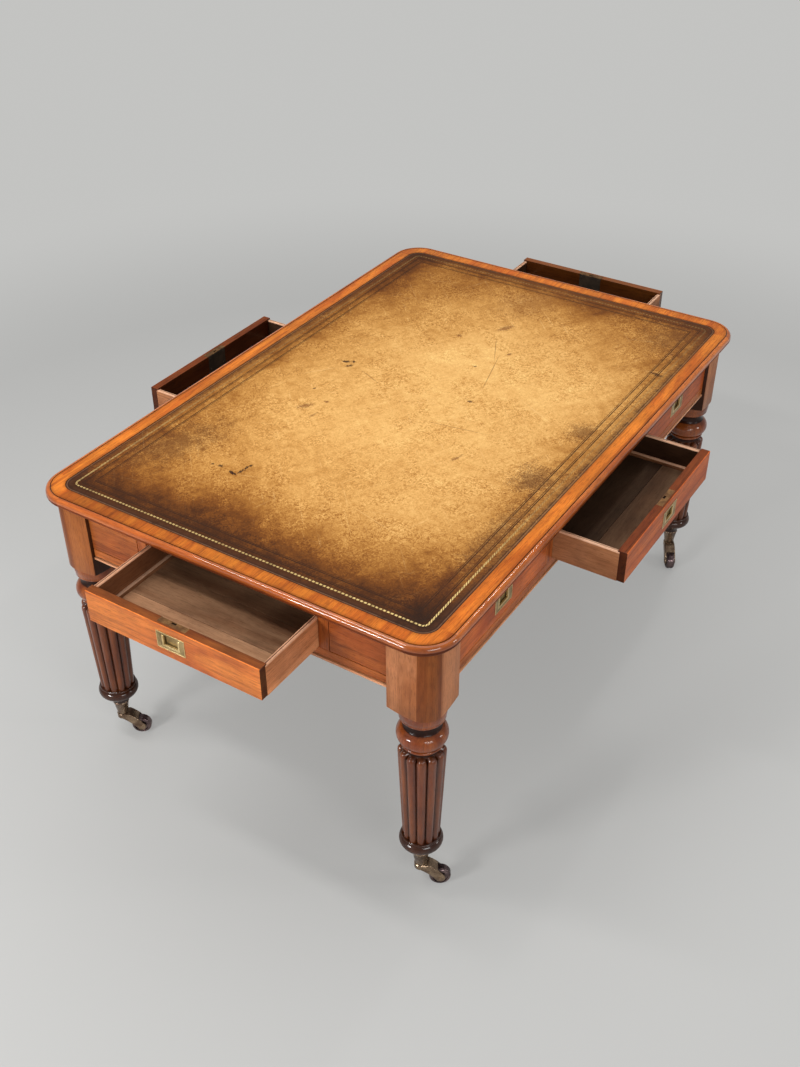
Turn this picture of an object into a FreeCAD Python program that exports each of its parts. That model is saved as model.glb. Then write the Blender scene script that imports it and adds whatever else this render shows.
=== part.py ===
import FreeCAD, Part
import os
from math import cos, pi, sin, sqrt
from FreeCAD import Vector

# Partners desk with drawers on all four sides. Millimetres, +Z up, origin on the floor
# under the middle of the top. +X runs along the length, -Y is the front long side.

# The desk as a whole
desk_height = 762.0
top_length = 1569.0
top_width = 1041.0
top_overhang = 25.6
frieze_recess = 9.0

# The top
board_thickness = 19.0
crossband_thickness = 3.0
crossband_width = 30.5
moulding_width = 12.7
top_corner_radius = 80.0
skiver_thickness = 2.3
quirk_width = 1.6
quirk_depth = 2.0
moulding_flat = 2.4
nose_drop = 11.5
moulding_return = 5.0

# The frieze, from the top down
upper_rail_height = 29.5
front_gap = 1.5
front_height = 79.0
lower_rail_height = 27.5
rail_depth = 45.0
bead_height = 5.0
bead_groove = 3.0
bead_seat = 6.0
bead_projection = 2.5
long_opening = 476.0
end_panel_width = 139.4
long_division = 30.0
end_division = 25.0

# The boards inside the frame
cross_partition_thickness = 18.0
long_partition_thickness = 16.0
middle_board_thickness = 18.0
runner_height = 20.0
runner_width = 22.0
guide_height = 16.0
guide_clearance = 0.8
kicker_width = 20.0
stop_length = 24.0
stop_depth = 14.0
stop_height = 6.0
stop_clearance = 0.3
stop_inset = 60.0

# The legs
leg_block = 105.0
block_corner_radius = 40.0
block_height = 191.0
shoulder_rise = 8.0
collar_radius = 50.0
collar_height = 29.0
collar_rim = 46.5
collar_lip = 7.0
collar_taper = 1.75
collar_swell = 0.3
neck_radius = 36.5
neck_height = 25.0
bulb_radius = 54.4
bulb_height = 42.0
bulb_seat_radius = 41.0
fillet_radius = 46.0
fillet_height = 7.0
cove_radius = 38.0
cove_height = 12.0
column_top_radius = 51.8
column_foot_radius = 40.9
reed_count = 12
reed_depth_share = 0.145
reed_dome = 9.0
ring_radius = 44.0
ring_height = 6.0
foot_bead_radius = 48.7
foot_bead_height = 27.0
foot_waist_radius = 36.0
foot_taper_height = 28.0
tenon_clearance = 0.25
tenon_gap = 1.0

# The castors
castor_height = 108.0
cup_height = 42.0
cup_top_radius = 18.8
cup_foot_radius = 13.5
cup_wall = 2.2
cup_floor = 3.0
cup_rim_height = 5.0
cup_rim_projection = 1.2
cup_round = 2.5
wheel_radius = 24.0
wheel_width = 22.0
wheel_tread = 6.0
wheel_crown = 4.0
wheel_dish_depth = 2.5
wheel_dish_outer = 17.0
wheel_dish_inner = 9.0
wheel_side_gap = 0.5
wheel_clearance = 1.5
axle_radius = 4.0
axle_head = 1.5
castor_trail = 43.0
swivel_pin_radius = 5.0
swivel_head_radius = 8.0
swivel_head_height = 2.7
swivel_head_clearance = 1.0
plate_thickness = 14.7
plate_radius = 15.0
plate_gap = 0.3
running_clearance = 0.05
cheek_thickness = 3.5
boss_radius = 12.0
arm_back = 10.0
arm_reach = 17.0
arm_swell = 3.0
arm_hollow = 3.0
castor_headings = {"front_left": -57.5, "front_right": 212.5, "back_left": -57.5, "back_right": -20.0}

# The drawers
front_thickness = 22.0
side_thickness = 10.0
side_drop = 3.5
side_housing = 4.0
slide_clearance = 0.3
bottom_thickness = 6.0
bottom_rise = 7.0
bottom_tongue = 5.0
back_thickness = 10.0
back_drop = 6.0
slip_radius = 9.0
centre_back_gap = 21.9
corner_back_gap = 9.4
end_back_gap = 22.9
front_pull = 171.0
back_pull = 178.0
left_pull = 185.0
right_pull = 235.0

# The handles and locks
plate_width = 72.0
plate_height = 42.0
plate_sink = 1.2
plate_proud = 0.8
bail_width = 46.0
bail_height = 28.5
bail_bar = 5.0
bail_thickness = 4.0
bail_proud = 0.3
bail_gap = 0.5
bail_head_gap = 1.1
stub_radius = 1.25
stub_length = 1.4
stub_end_gap = 0.4
pan_wall = 2.0
pan_depth = 8.0
lock_width = 68.0
lock_height = 50.0
lock_thickness = 9.0
selvedge_width = 73.0
selvedge_depth = 15.0
selvedge_thickness = 1.5
selvedge_inset = 1.0
bolt_slot_width = 12.0
bolt_slot_depth = 5.0
bolt_slot_height = 4.5

# How far a cut runs past the faces that it opens
overrun = 1.0

# Places worked out from the sizes above
top_underside = desk_height - crossband_thickness - board_thickness
board_top = desk_height - crossband_thickness
quirk_x = top_length / 2 - moulding_width
quirk_y = top_width / 2 - moulding_width
quirk_radius = top_corner_radius - moulding_width
block_face_x = top_length / 2 - top_overhang
block_face_y = top_width / 2 - top_overhang
block_inner_x = block_face_x - leg_block
block_inner_y = block_face_y - leg_block
leg_x = block_face_x - leg_block / 2
leg_y = block_face_y - leg_block / 2
frieze_x = block_face_x - frieze_recess
frieze_y = block_face_y - frieze_recess

upper_rail_bottom = top_underside - upper_rail_height
front_top = upper_rail_bottom - front_gap
front_bottom = front_top - front_height
lower_rail_top = front_bottom - front_gap
lower_rail_bottom = lower_rail_top - lower_rail_height

end_opening = 2 * (block_inner_y - end_panel_width - front_gap - end_division)
cross_partition_x = long_opening / 2 + long_division / 2
long_partition_y = end_opening / 2 + end_division / 2
cross_inner = cross_partition_x - cross_partition_thickness / 2
cross_outer = cross_partition_x + cross_partition_thickness / 2
long_inner = long_partition_y - long_partition_thickness / 2
long_outer = long_partition_y + long_partition_thickness / 2

cup_bottom = castor_height - cup_height
plate_top = cup_bottom - plate_gap
plate_bottom = plate_top - plate_thickness

side_top = front_top - side_drop
side_bottom = lower_rail_top + slide_clearance
bottom_low = front_bottom + bottom_rise
bottom_top = bottom_low + bottom_thickness

handle_height = (front_top + front_bottom) / 2
cavity_width = bail_width + 2 * bail_gap
cavity_height = bail_height + bail_gap + bail_head_gap
cavity_top = handle_height + cavity_height / 2
cavity_bottom = handle_height - cavity_height / 2
bail_pivot_height = cavity_top - bail_head_gap - bail_thickness / 2
bail_pivot_depth = bail_proud - bail_thickness / 2

# The turn that brings a piece drawn facing +Y to each side of the desk
turns = {"front": 180, "back": 0, "left": 90, "right": -90}
faces = {"front": frieze_y, "back": frieze_y, "left": frieze_x, "right": frieze_x}


def box(x, y, z):
    """A block between a low and a high value on each axis."""
    return Part.makeBox(x[1] - x[0], y[1] - y[0], z[1] - z[0], Vector(x[0], y[0], z[0]))


def mirrored(sign, near, far):
    """The low and high value of a span from near to far, on one side of zero."""
    return (near, far) if sign > 0 else (-far, -near)


def quarter(start, end, level_first=True):
    """The middle point of a quarter round that leaves start level, or else upright."""
    more, less = sqrt(2) / 2, 1 - sqrt(2) / 2
    along, up = (more, less) if level_first else (less, more)
    return (start[0] + along * (end[0] - start[0]), start[1] + up * (end[1] - start[1]))


def outline(start, moves, to_space):
    """A closed face. A move is a point for a straight run, or a middle and an end for an arc."""
    edges = []
    here = start
    for move in moves:
        if isinstance(move[0], tuple):
            edges.append(Part.Arc(to_space(here), to_space(move[0]), to_space(move[1])).toShape())
            here = move[1]
        else:
            edges.append(Part.LineSegment(to_space(here), to_space(move)).toShape())
            here = move
    if here != start:
        edges.append(Part.LineSegment(to_space(here), to_space(start)).toShape())
    return Part.Face(Part.Wire(edges))


def turned(start, moves):
    """A solid turned round the Z axis from an outline of radii and heights."""
    face = outline(start, moves, lambda p: Vector(p[0], 0, p[1]))
    return face.revolve(Vector(0, 0, 0), Vector(0, 0, 1), 360)


def fused(shapes):
    """One solid made of several that meet."""
    whole = shapes[0].fuse(shapes[1:]) if len(shapes) > 1 else shapes[0]
    return whole.removeSplitter().Solids[0]


def place(shape, side, along=0, out=0):
    """Turn a piece drawn facing +Y to its side and set its face on that side's frieze plane."""
    piece = shape.copy()
    piece.rotate(Vector(0, 0, 0), Vector(0, 0, 1), turns[side])
    reach = faces[side] + out
    moves = {"front": (along, -reach), "back": (along, reach),
             "left": (-reach, along), "right": (reach, along)}
    piece.translate(Vector(moves[side][0], moves[side][1], 0))
    return piece


def write(node, solids):
    """Write one node's solids to its own file."""
    shape = solids[0] if len(solids) == 1 else Part.makeCompound(solids)
    shape.exportStep("parts/" + node + ".step")
    print(node, len(solids), "solids,", round(shape.Volume), "mm3, valid", shape.isValid())


def rounded_slab(half_x, half_y, radius, low, high):
    """A slab with rounded corners, centred on the Z axis."""
    slab = box((-half_x, half_x), (-half_y, half_y), (low, high))
    upright = [e for e in slab.Edges if abs(e.Vertexes[0].Z - e.Vertexes[-1].Z) > (high - low) / 2]
    return slab.makeFillet(radius, upright)


def top_board():
    """The panel that carries the leather, the crossbanding and the moulding."""
    return rounded_slab(quirk_x, quirk_y, quirk_radius, top_underside, board_top)


def leather_skiver():
    """The leather, laid in the well that the crossbanding leaves."""
    return rounded_slab(quirk_x - crossband_width, quirk_y - crossband_width,
                        quirk_radius - crossband_width, board_top, board_top + skiver_thickness)


def border(section):
    """A border round the top: four corner pieces, and four straight lengths between them."""
    start, moves = section
    straight_x, straight_y = quirk_x - quirk_radius, quirk_y - quirk_radius
    bend = outline(start, moves, lambda p: Vector(-quirk_radius - p[0], 0, p[1]))
    corner = bend.revolve(Vector(0, 0, 0), Vector(0, 0, 1), 90)
    pieces = []
    for _, sign_x, sign_y, turn in leg_places():
        piece = corner.copy()
        piece.rotate(Vector(0, 0, 0), Vector(0, 0, 1), turn)
        piece.translate(Vector(sign_x * straight_x, sign_y * straight_y, 0))
        pieces.append(piece)
    for side in turns:
        long_side = side in ("front", "back")
        half, reach = (straight_x, quirk_y) if long_side else (straight_y, quirk_x)
        face = outline(start, moves, lambda p: Vector(-half, reach + p[0], p[1]))
        piece = face.extrude(Vector(2 * half, 0, 0))
        piece.rotate(Vector(0, 0, 0), Vector(0, 0, 1), turns[side])
        pieces.append(piece)
    return pieces


def crossband_section():
    """Flat section: distance outward from the quirk line, and height."""
    return (0, board_top), [(0, desk_height), (-crossband_width, desk_height),
                            (-crossband_width, board_top)]


def moulding_section():
    """Thumbnail section: a quirk, a narrow flat, a quarter round, and a return underneath."""
    shelf = desk_height - quirk_depth
    flat = (quirk_width + moulding_flat, desk_height)
    nose = (moulding_width, desk_height - nose_drop)
    heel = (moulding_width - moulding_return, top_underside)
    return (0, top_underside), [(0, shelf), (quirk_width, shelf), (quirk_width, desk_height), flat,
                                (quarter(flat, nose), nose), (quarter(nose, heel, False), heel)]


def leg_block_solid():
    """The square block at the leg's head, its outer corner rounded and its foot shouldered."""
    half = leg_block / 2
    bend = -half + block_corner_radius
    near = (1 - sqrt(2) / 2) * block_corner_radius - half
    low = top_underside - block_height
    face = outline((bend, -half), [(half, -half), (half, half), (-half, half), (-half, bend),
                                   ((near, near), (bend, -half))],
                   lambda p: Vector(p[0], p[1], low))
    block = face.extrude(Vector(0, 0, block_height))
    reach = half * sqrt(2) + overrun
    shoulder = turned((0, low), [(collar_radius, low), (reach, low + shoulder_rise),
                                 (reach, top_underside), (0, top_underside)])
    return block.common(shoulder)


def leg_neck_solid():
    """Collar, neck, bulb, fillet and cove, turned below the block."""
    top = top_underside - block_height
    collar_low = top - collar_height
    neck_low = collar_low - neck_height
    bulb_low = neck_low - bulb_height
    fillet_low = bulb_low - fillet_height
    cove_low = fillet_low - cove_height
    lip = (collar_radius - collar_taper, collar_low + collar_lip)
    waist = (neck_radius, collar_low - neck_height / 2)
    return turned((0, top), [
        (collar_radius, top),
        ((collar_radius + collar_swell, top - collar_height / 2), lip),
        (quarter(lip, (collar_rim, collar_low), False), (collar_rim, collar_low)),
        (bulb_seat_radius, collar_low),
        (waist, (bulb_seat_radius, neck_low)),
        ((bulb_radius, neck_low - bulb_height / 2), (bulb_seat_radius, bulb_low)),
        (fillet_radius - fillet_height / 2, bulb_low),
        ((fillet_radius, bulb_low - fillet_height / 2), (fillet_radius - fillet_height / 2, fillet_low)),
        ((cove_radius, fillet_low - cove_height / 2), (cove_radius, cove_low)),
        (0, cove_low)])


def reeded_wire(radius, height):
    """A closed ring of reeds: arcs that meet in the grooves and crest at the radius."""
    groove = radius * (1 - reed_depth_share)
    half_pitch = pi / reed_count
    point = lambda r, a: Vector(r * cos(a), r * sin(a), height)
    arcs = []
    for reed in range(reed_count):
        middle = 2 * pi * reed / reed_count
        arcs.append(Part.Arc(point(groove, middle - half_pitch), point(radius, middle),
                             point(groove, middle + half_pitch)).toShape())
    return Part.Wire(arcs)


def leg_column_solid(low, high):
    """The tapering reeded column, each reed domed at its head."""
    column = Part.makeLoft([reeded_wire(column_foot_radius, low), reeded_wire(column_top_radius, high)],
                           True, True)
    crest = column_top_radius + overrun
    dome_foot = (crest, high - reed_dome)
    dome_top = (cove_radius, high)
    head = turned((0, low), [(crest, low), dome_foot, (quarter(dome_foot, dome_top, False), dome_top),
                             (0, high)])
    return column.common(head)


def leg_foot_solid(column_low):
    """Ring, bead and taper under the column, and the tenon that goes into the castor's cup."""
    bead_top = column_low - ring_height
    bead_low = bead_top - foot_bead_height
    taper_low = bead_low - foot_taper_height
    rim = ring_radius - ring_height / 2
    tenon_top = cup_top_radius - cup_wall - tenon_clearance
    tenon_end = cup_bottom + cup_floor + tenon_gap
    tenon_foot = cup_foot_radius - cup_wall - tenon_clearance
    waist = (foot_waist_radius, bead_low)
    tip = (cup_top_radius, taper_low)
    return turned((0, column_low), [
        (rim, column_low),
        ((ring_radius, column_low - ring_height / 2), (rim, bead_top)),
        ((foot_bead_radius, bead_top - foot_bead_height / 2), waist),
        (quarter(waist, tip, False), tip),
        (tenon_top, taper_low),
        (tenon_foot, tenon_end),
        (0, tenon_end)])


def leg():
    """One leg, its rounded outer corner towards -X and -Y, its axis on the Z axis."""
    column_high = (top_underside - block_height - collar_height - neck_height - bulb_height
                   - fillet_height - cove_height)
    column_low = castor_height + foot_taper_height + foot_bead_height + ring_height
    return fused([leg_block_solid(), leg_neck_solid(), leg_column_solid(column_low, column_high),
                  leg_foot_solid(column_low)])


def leg_places():
    """Each leg's name, its signs along X and Y, and the turn that points its round corner outward."""
    return [("front_left", -1, -1, 0), ("front_right", 1, -1, 90),
            ("back_right", 1, 1, 180), ("back_left", -1, 1, 270)]


def stand(shape, name, turn):
    """Turn a piece drawn on the Z axis and move it to a leg's axis."""
    for place_name, sign_x, sign_y, _ in leg_places():
        if place_name == name:
            piece = shape.copy()
            piece.rotate(Vector(0, 0, 0), Vector(0, 0, 1), turn)
            piece.translate(Vector(sign_x * leg_x, sign_y * leg_y, 0))
            return piece


def castor_cup():
    """The tapered cup on the leg's tenon, with a rounded rim and a floor."""
    inner_top = cup_top_radius - cup_wall
    inner_foot = cup_foot_radius - cup_wall
    rim_low = castor_height - cup_rim_height
    rim_middle = castor_height - cup_rim_height / 2
    floor = cup_bottom + cup_floor
    side_foot = (cup_foot_radius, cup_bottom + cup_round)
    round_foot = (cup_foot_radius - cup_round, cup_bottom)
    return turned((inner_top, castor_height), [
        (cup_top_radius, castor_height),
        ((cup_top_radius + cup_rim_projection, rim_middle), (cup_top_radius, rim_low)),
        side_foot,
        (quarter(side_foot, round_foot, False), round_foot),
        (0, cup_bottom), (0, floor), (inner_foot, floor)])


def swivel_pin():
    """The pin that hangs from the cup, riveted over under the horn's plate."""
    head_top = plate_bottom - plate_gap
    head_low = head_top - swivel_head_height
    return turned((0, cup_bottom), [
        (swivel_pin_radius, cup_bottom), (swivel_pin_radius, head_top), (swivel_head_radius, head_top),
        (quarter((swivel_head_radius, head_top), (swivel_pin_radius, head_low), False),
         (swivel_pin_radius, head_low)),
        (0, head_low)])


def bulged(start, end, rise):
    """The middle point of an arc from start to end that stands rise out of its chord."""
    run, climb = end[0] - start[0], end[1] - start[1]
    length = sqrt(run * run + climb * climb)
    return ((start[0] + end[0]) / 2 - rise * climb / length, (start[1] + end[1]) / 2 + rise * run / length)


def castor_horn():
    """Plate, an arm that trails along +X and forks round the wheel, and the riveted axle."""
    inner = wheel_width / 2 + wheel_side_gap
    outer = inner + cheek_thickness
    plate = Part.makeCylinder(plate_radius, plate_thickness, Vector(0, 0, plate_bottom))
    run, drop = castor_trail - arm_back, plate_bottom + plate_thickness / 2 - wheel_radius
    length = sqrt(run * run + drop * drop)
    across, up = boss_radius * drop / length, boss_radius * run / length
    head, heel = (arm_reach, plate_top), (-arm_back, plate_bottom)
    crest, sole = (castor_trail + across, wheel_radius + up), (castor_trail - across, wheel_radius - up)
    side = outline(heel, [(-arm_back, plate_top), head, (bulged(head, crest, arm_swell), crest), sole,
                          (bulged(sole, heel, -arm_hollow), heel)],
                   lambda p: Vector(p[0], -outer, p[1]))
    axle_line = lambda radius, half: Part.makeCylinder(
        radius, 2 * half, Vector(castor_trail, -half, wheel_radius), Vector(0, 1, 0))
    arm = fused([side.extrude(Vector(0, 2 * outer, 0)), axle_line(boss_radius, outer)])
    pocket = Part.makeCylinder(swivel_head_radius + swivel_head_clearance, plate_bottom)
    fork = arm.cut([axle_line(wheel_radius + wheel_clearance, inner), pocket])
    bore = Part.makeCylinder(swivel_pin_radius + running_clearance, plate_thickness + 2 * overrun,
                             Vector(0, 0, plate_bottom - overrun))
    return fused([plate] + fork.Solids + [axle_line(axle_radius, outer + axle_head)]).cut(bore).Solids[0]


def castor_wheel():
    """A solid wheel with a crowned tread and dished faces, its bore along Y."""
    half = wheel_width / 2
    bore = axle_radius + running_clearance
    dish = half - wheel_dish_depth
    shoulder = wheel_radius - wheel_crown
    tread = wheel_tread / 2
    wheel = turned((bore, -half), [
        (wheel_dish_inner, -half), (wheel_dish_inner, -dish), (wheel_dish_outer, -dish),
        (wheel_dish_outer, -half), (shoulder, -half),
        (quarter((shoulder, -half), (wheel_radius, -tread)), (wheel_radius, -tread)),
        (wheel_radius, tread),
        (quarter((wheel_radius, tread), (shoulder, half), False), (shoulder, half)),
        (wheel_dish_outer, half), (wheel_dish_outer, dish), (wheel_dish_inner, dish),
        (wheel_dish_inner, half), (bore, half)])
    wheel.rotate(Vector(0, 0, 0), Vector(1, 0, 0), 90)
    wheel.translate(Vector(castor_trail, 0, wheel_radius))
    return wheel


def rail_run(side):
    """Half the clear run between the leg blocks on a side."""
    return block_inner_x if side in ("front", "back") else block_inner_y


def upper_rails():
    """The rails under the top, one on each side, flush with the frieze."""
    rails = []
    for side in turns:
        half = rail_run(side)
        rails.append(place(box((-half, half), (-rail_depth, 0), (upper_rail_bottom, top_underside)), side))
    return rails


def lower_rails():
    """The rails under the drawers, rebated along the bottom for the bead and its groove."""
    rails = []
    for side in turns:
        half = rail_run(side)
        rail = box((-half, half), (-rail_depth, 0), (lower_rail_bottom, lower_rail_top))
        rebate = box((-half - overrun, half + overrun), (-bead_seat, overrun),
                     (lower_rail_bottom - overrun, lower_rail_bottom + bead_height + bead_groove))
        rails.append(place(rail.cut(rebate), side))
    return rails


def rail_beads():
    """The round-nosed beads planted in the rebate of the lower rails."""
    beads = []
    nose = bead_projection - bead_height / 2
    low, high = lower_rail_bottom, lower_rail_bottom + bead_height
    for side in turns:
        half = rail_run(side)
        face = outline((-bead_seat, low), [(nose, low), ((bead_projection, (low + high) / 2), (nose, high)),
                                           (-bead_seat, high)],
                       lambda p: Vector(-half, p[0], p[1]))
        beads.append(place(face.extrude(Vector(2 * half, 0, 0)), side))
    return beads


def drawer_divisions():
    """The uprights between the openings, two on each side."""
    uprights = []
    for side in turns:
        long_side = side in ("front", "back")
        near = (long_opening if long_side else end_opening) / 2
        far = near + (long_division if long_side else end_division)
        for sign in (-1, 1):
            upright = box(mirrored(sign, near, far), (-rail_depth, 0), (lower_rail_top, upper_rail_bottom))
            uprights.append(place(upright, side))
    return uprights


def end_panels():
    """The fixed panels beside the end drawers, faced like drawers."""
    panels = []
    for side in ("left", "right"):
        for sign in (-1, 1):
            panel = box(mirrored(sign, block_inner_y - end_panel_width, block_inner_y),
                        (-front_thickness, 0),
                        (lower_rail_top + front_gap, upper_rail_bottom))
            panels.append(place(panel, side))
    return panels


def cross_partitions():
    """The boards from front to back, behind the divisions of the long sides."""
    half = frieze_y - rail_depth
    return [box(mirrored(sign, cross_inner, cross_outer), (-half, half), (lower_rail_bottom, top_underside))
            for sign in (-1, 1)]


def long_partitions():
    """The boards from each end to the cross partitions, and the middle board between these."""
    boards = []
    for sign_x in (-1, 1):
        for sign_y in (-1, 1):
            boards.append(box(mirrored(sign_x, cross_outer, frieze_x - rail_depth),
                              mirrored(sign_y, long_inner, long_outer),
                              (lower_rail_bottom, top_underside)))
    half = middle_board_thickness / 2
    boards.append(box((-cross_inner, cross_inner), (-half, half), (lower_rail_bottom, top_underside)))
    return boards


def drawer_list():
    """Each drawer: its name, side, place along it, front width, depth, pull, and what is round it."""
    centre_cavity = frieze_y - middle_board_thickness / 2
    corner_cavity = frieze_y - long_outer
    end_cavity = frieze_x - cross_outer
    corner_low = long_opening / 2 + long_division
    corner_opening = block_inner_x - corner_low
    corner_along = (block_inner_x + corner_low) / 2
    drawers = []
    for side, pull in (("front", front_pull), ("back", back_pull)):
        drawers.append({"name": side + "_centre", "side": side, "along": 0,
                        "depth": centre_cavity - centre_back_gap,
                        "width": long_opening - 2 * front_gap, "pull": pull, "cavity": centre_cavity,
                        "walls": (cross_inner, cross_inner)})
        for word, sign in (("_left", -1), ("_right", 1)):
            inner, outer = corner_along - cross_outer, corner_opening / 2
            outward_is_low = (sign < 0) == (side == "back")
            drawers.append({"name": side + word, "side": side, "along": sign * corner_along,
                            "depth": corner_cavity - corner_back_gap,
                            "width": corner_opening - 2 * front_gap, "pull": 0,
                            "cavity": corner_cavity,
                            "walls": (outer, inner) if outward_is_low else (inner, outer)})
    for side, pull in (("left", left_pull), ("right", right_pull)):
        drawers.append({"name": side + "_end", "side": side, "along": 0,
                        "depth": end_cavity - end_back_gap,
                        "width": end_opening - 2 * front_gap, "pull": pull, "cavity": end_cavity,
                        "walls": (long_inner, long_inner)})
    return drawers


def drawer_runners():
    """Two runners under each drawer, with a guide beside the drawer where the wall stands back."""
    runners = []
    for drawer in drawer_list():
        half = drawer["width"] / 2
        length = (-drawer["cavity"], -rail_depth)
        for sign, wall in zip((-1, 1), drawer["walls"]):
            solids = [box(mirrored(sign, wall - runner_width, wall), length,
                          (lower_rail_top - runner_height, lower_rail_top))]
            if wall - half > 2 * front_gap:
                solids.append(box(mirrored(sign, half + guide_clearance, wall), length,
                                  (lower_rail_top, lower_rail_top + guide_height)))
            runners.append(place(fused(solids), drawer["side"], drawer["along"]))
    return runners


def drawer_kickers():
    """Two strips over each drawer that keep it level as it is pulled out."""
    kickers = []
    for drawer in drawer_list():
        for sign, wall in zip((-1, 1), drawer["walls"]):
            kicker = box(mirrored(sign, wall - kicker_width, wall), (-drawer["cavity"], -rail_depth),
                         (upper_rail_bottom, top_underside))
            kickers.append(place(kicker, drawer["side"], drawer["along"]))
    return kickers


def drawer_stops():
    """Two small blocks on the lower rail that meet the back of each closed front."""
    stops = []
    near = -front_thickness - stop_clearance
    for drawer in drawer_list():
        far = drawer["width"] / 2 - stop_inset
        for sign in (-1, 1):
            stop = box(mirrored(sign, far - stop_length, far), (near - stop_depth, near),
                       (lower_rail_top, lower_rail_top + stop_height))
            stops.append(place(stop, drawer["side"], drawer["along"]))
    return stops


def lock_solids():
    """The lock's case and its brass selvedge, as they fill the drawer front."""
    case = box((-lock_width / 2, lock_width / 2), (-front_thickness, lock_thickness - front_thickness),
               (front_top - lock_height, front_top - selvedge_thickness))
    back = selvedge_inset - front_thickness
    selvedge = box((-selvedge_width / 2, selvedge_width / 2), (back, back + selvedge_depth),
                   (front_top - selvedge_thickness, front_top))
    return case, selvedge


def handle_plate_solids():
    """The handle's plate and the pan behind it, as they fill the drawer front."""
    half_width, half_height = plate_width / 2, plate_height / 2
    plate = box((-half_width, half_width), (-plate_sink, plate_proud),
                (handle_height - half_height, handle_height + half_height))
    side = cavity_width / 2 + pan_wall
    pan = box((-side, side), (-pan_depth, -plate_sink),
              (cavity_bottom - pan_wall, cavity_top + pan_wall))
    return plate, pan


def drawer_front(width):
    """The front board, housed for the sides and the bottom, and cut for the handle and the lock."""
    half = width / 2
    board = box((-half, half), (-front_thickness, 0), (front_bottom, front_top))
    cuts = list(lock_solids()) + list(handle_plate_solids())
    for sign in (-1, 1):
        cuts.append(box(mirrored(sign, half - side_thickness, half + overrun),
                        (-front_thickness - overrun, side_housing - front_thickness),
                        (side_bottom - overrun, side_top)))
    cuts.append(box((side_thickness - half, half - side_thickness),
                    (-front_thickness - overrun, bottom_tongue - front_thickness),
                    (bottom_low, bottom_top)))
    return board.cut(cuts).Solids[0]


def drawer_box(width, depth):
    """Sides, back, bottom and the quarter-round slips that cover the bottom's edges."""
    half = width / 2
    inner = half - side_thickness
    solids = [box((-inner, inner), (-depth, back_thickness - depth), (bottom_top, side_top - back_drop)),
              box((-inner, inner), (-depth, bottom_tongue - front_thickness), (bottom_low, bottom_top))]
    start = back_thickness - depth
    for sign in (-1, 1):
        solids.append(box(mirrored(sign, inner, half), (-depth, side_housing - front_thickness),
                          (side_bottom, side_top)))
        face = outline((sign * inner, bottom_top),
                       [(sign * (inner - slip_radius), bottom_top),
                        (quarter((sign * (inner - slip_radius), bottom_top),
                                 (sign * inner, bottom_top + slip_radius), False),
                         (sign * inner, bottom_top + slip_radius))],
                       lambda p: Vector(p[0], start, p[1]))
        solids.append(face.extrude(Vector(0, -front_thickness - start, 0)))
    return solids


def handle_and_lock():
    """The flush handle's plate with its pan, and the lock with its selvedge."""
    plate, pan = handle_plate_solids()
    edges = [e for e in plate.Edges if min(v.Y for v in e.Vertexes) > plate_proud / 2]
    plate = plate.makeChamfer(plate_proud, edges)
    half = cavity_width / 2
    cavity = box((-half, half), (pan_wall - pan_depth, plate_proud + overrun),
                 (cavity_bottom, cavity_top))
    cuts = [cavity]
    for sign in (-1, 1):
        start = min(mirrored(sign, half, half + stub_length + stub_end_gap - bail_gap))
        cuts.append(Part.makeCylinder(stub_radius + running_clearance,
                                      stub_length + stub_end_gap - bail_gap,
                                      Vector(start, bail_pivot_depth, bail_pivot_height),
                                      Vector(1, 0, 0)))
    handle = fused([plate, pan]).cut(cuts).Solids[0]
    case, selvedge = lock_solids()
    middle = selvedge_inset - front_thickness + lock_thickness / 2
    slot = box((-bolt_slot_width / 2, bolt_slot_width / 2),
               (middle - bolt_slot_depth / 2, middle + bolt_slot_depth / 2),
               (front_top - bolt_slot_height, front_top + overrun))
    lock = fused([case, selvedge]).cut(slot).Solids[0]
    return [handle, lock]


def handle_bail():
    """The square-barred bail, hanging in the pan from two stubs."""
    half = bail_width / 2
    depth = (bail_proud - bail_thickness, bail_proud)
    low = cavity_bottom + bail_gap
    solids = [box((-half, half), depth, (low, low + bail_bar))]
    for sign in (-1, 1):
        arm = mirrored(sign, half - bail_bar, half)
        solids.append(box(arm, depth, (low, bail_pivot_height)))
        solids.append(Part.makeCylinder(bail_thickness / 2, bail_bar,
                                        Vector(arm[0], bail_pivot_depth, bail_pivot_height),
                                        Vector(1, 0, 0)))
        start = min(mirrored(sign, half, half + stub_length))
        solids.append(Part.makeCylinder(stub_radius, stub_length,
                                        Vector(start, bail_pivot_depth, bail_pivot_height),
                                        Vector(1, 0, 0)))
    return fused(solids)


def write_top():
    write("top_board", [top_board()])
    write("crossband_border", border(crossband_section()))
    write("edge_moulding", border(moulding_section()))
    write("leather_skiver", [leather_skiver()])


def write_legs_and_castors():
    one_leg, cup, pin, horn, wheel = leg(), castor_cup(), swivel_pin(), castor_horn(), castor_wheel()
    cups = []
    for name, _, _, turn in leg_places():
        heading = castor_headings[name]
        write("leg_" + name, [stand(one_leg, name, turn)])
        write("castor_horn_" + name, [stand(horn, name, heading)])
        write("castor_wheel_" + name, [stand(wheel, name, heading)])
        cups += [stand(cup, name, turn), stand(pin, name, turn)]
    write("castor_cups", cups)


def write_frame():
    write("upper_rails", upper_rails())
    write("lower_rails", lower_rails())
    write("rail_beads", rail_beads())
    write("drawer_divisions", drawer_divisions())
    write("end_panels", end_panels())
    write("cross_partitions", cross_partitions())
    write("long_partitions", long_partitions())
    write("drawer_runners", drawer_runners())
    write("drawer_kickers", drawer_kickers())
    write("drawer_stops", drawer_stops())


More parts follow.
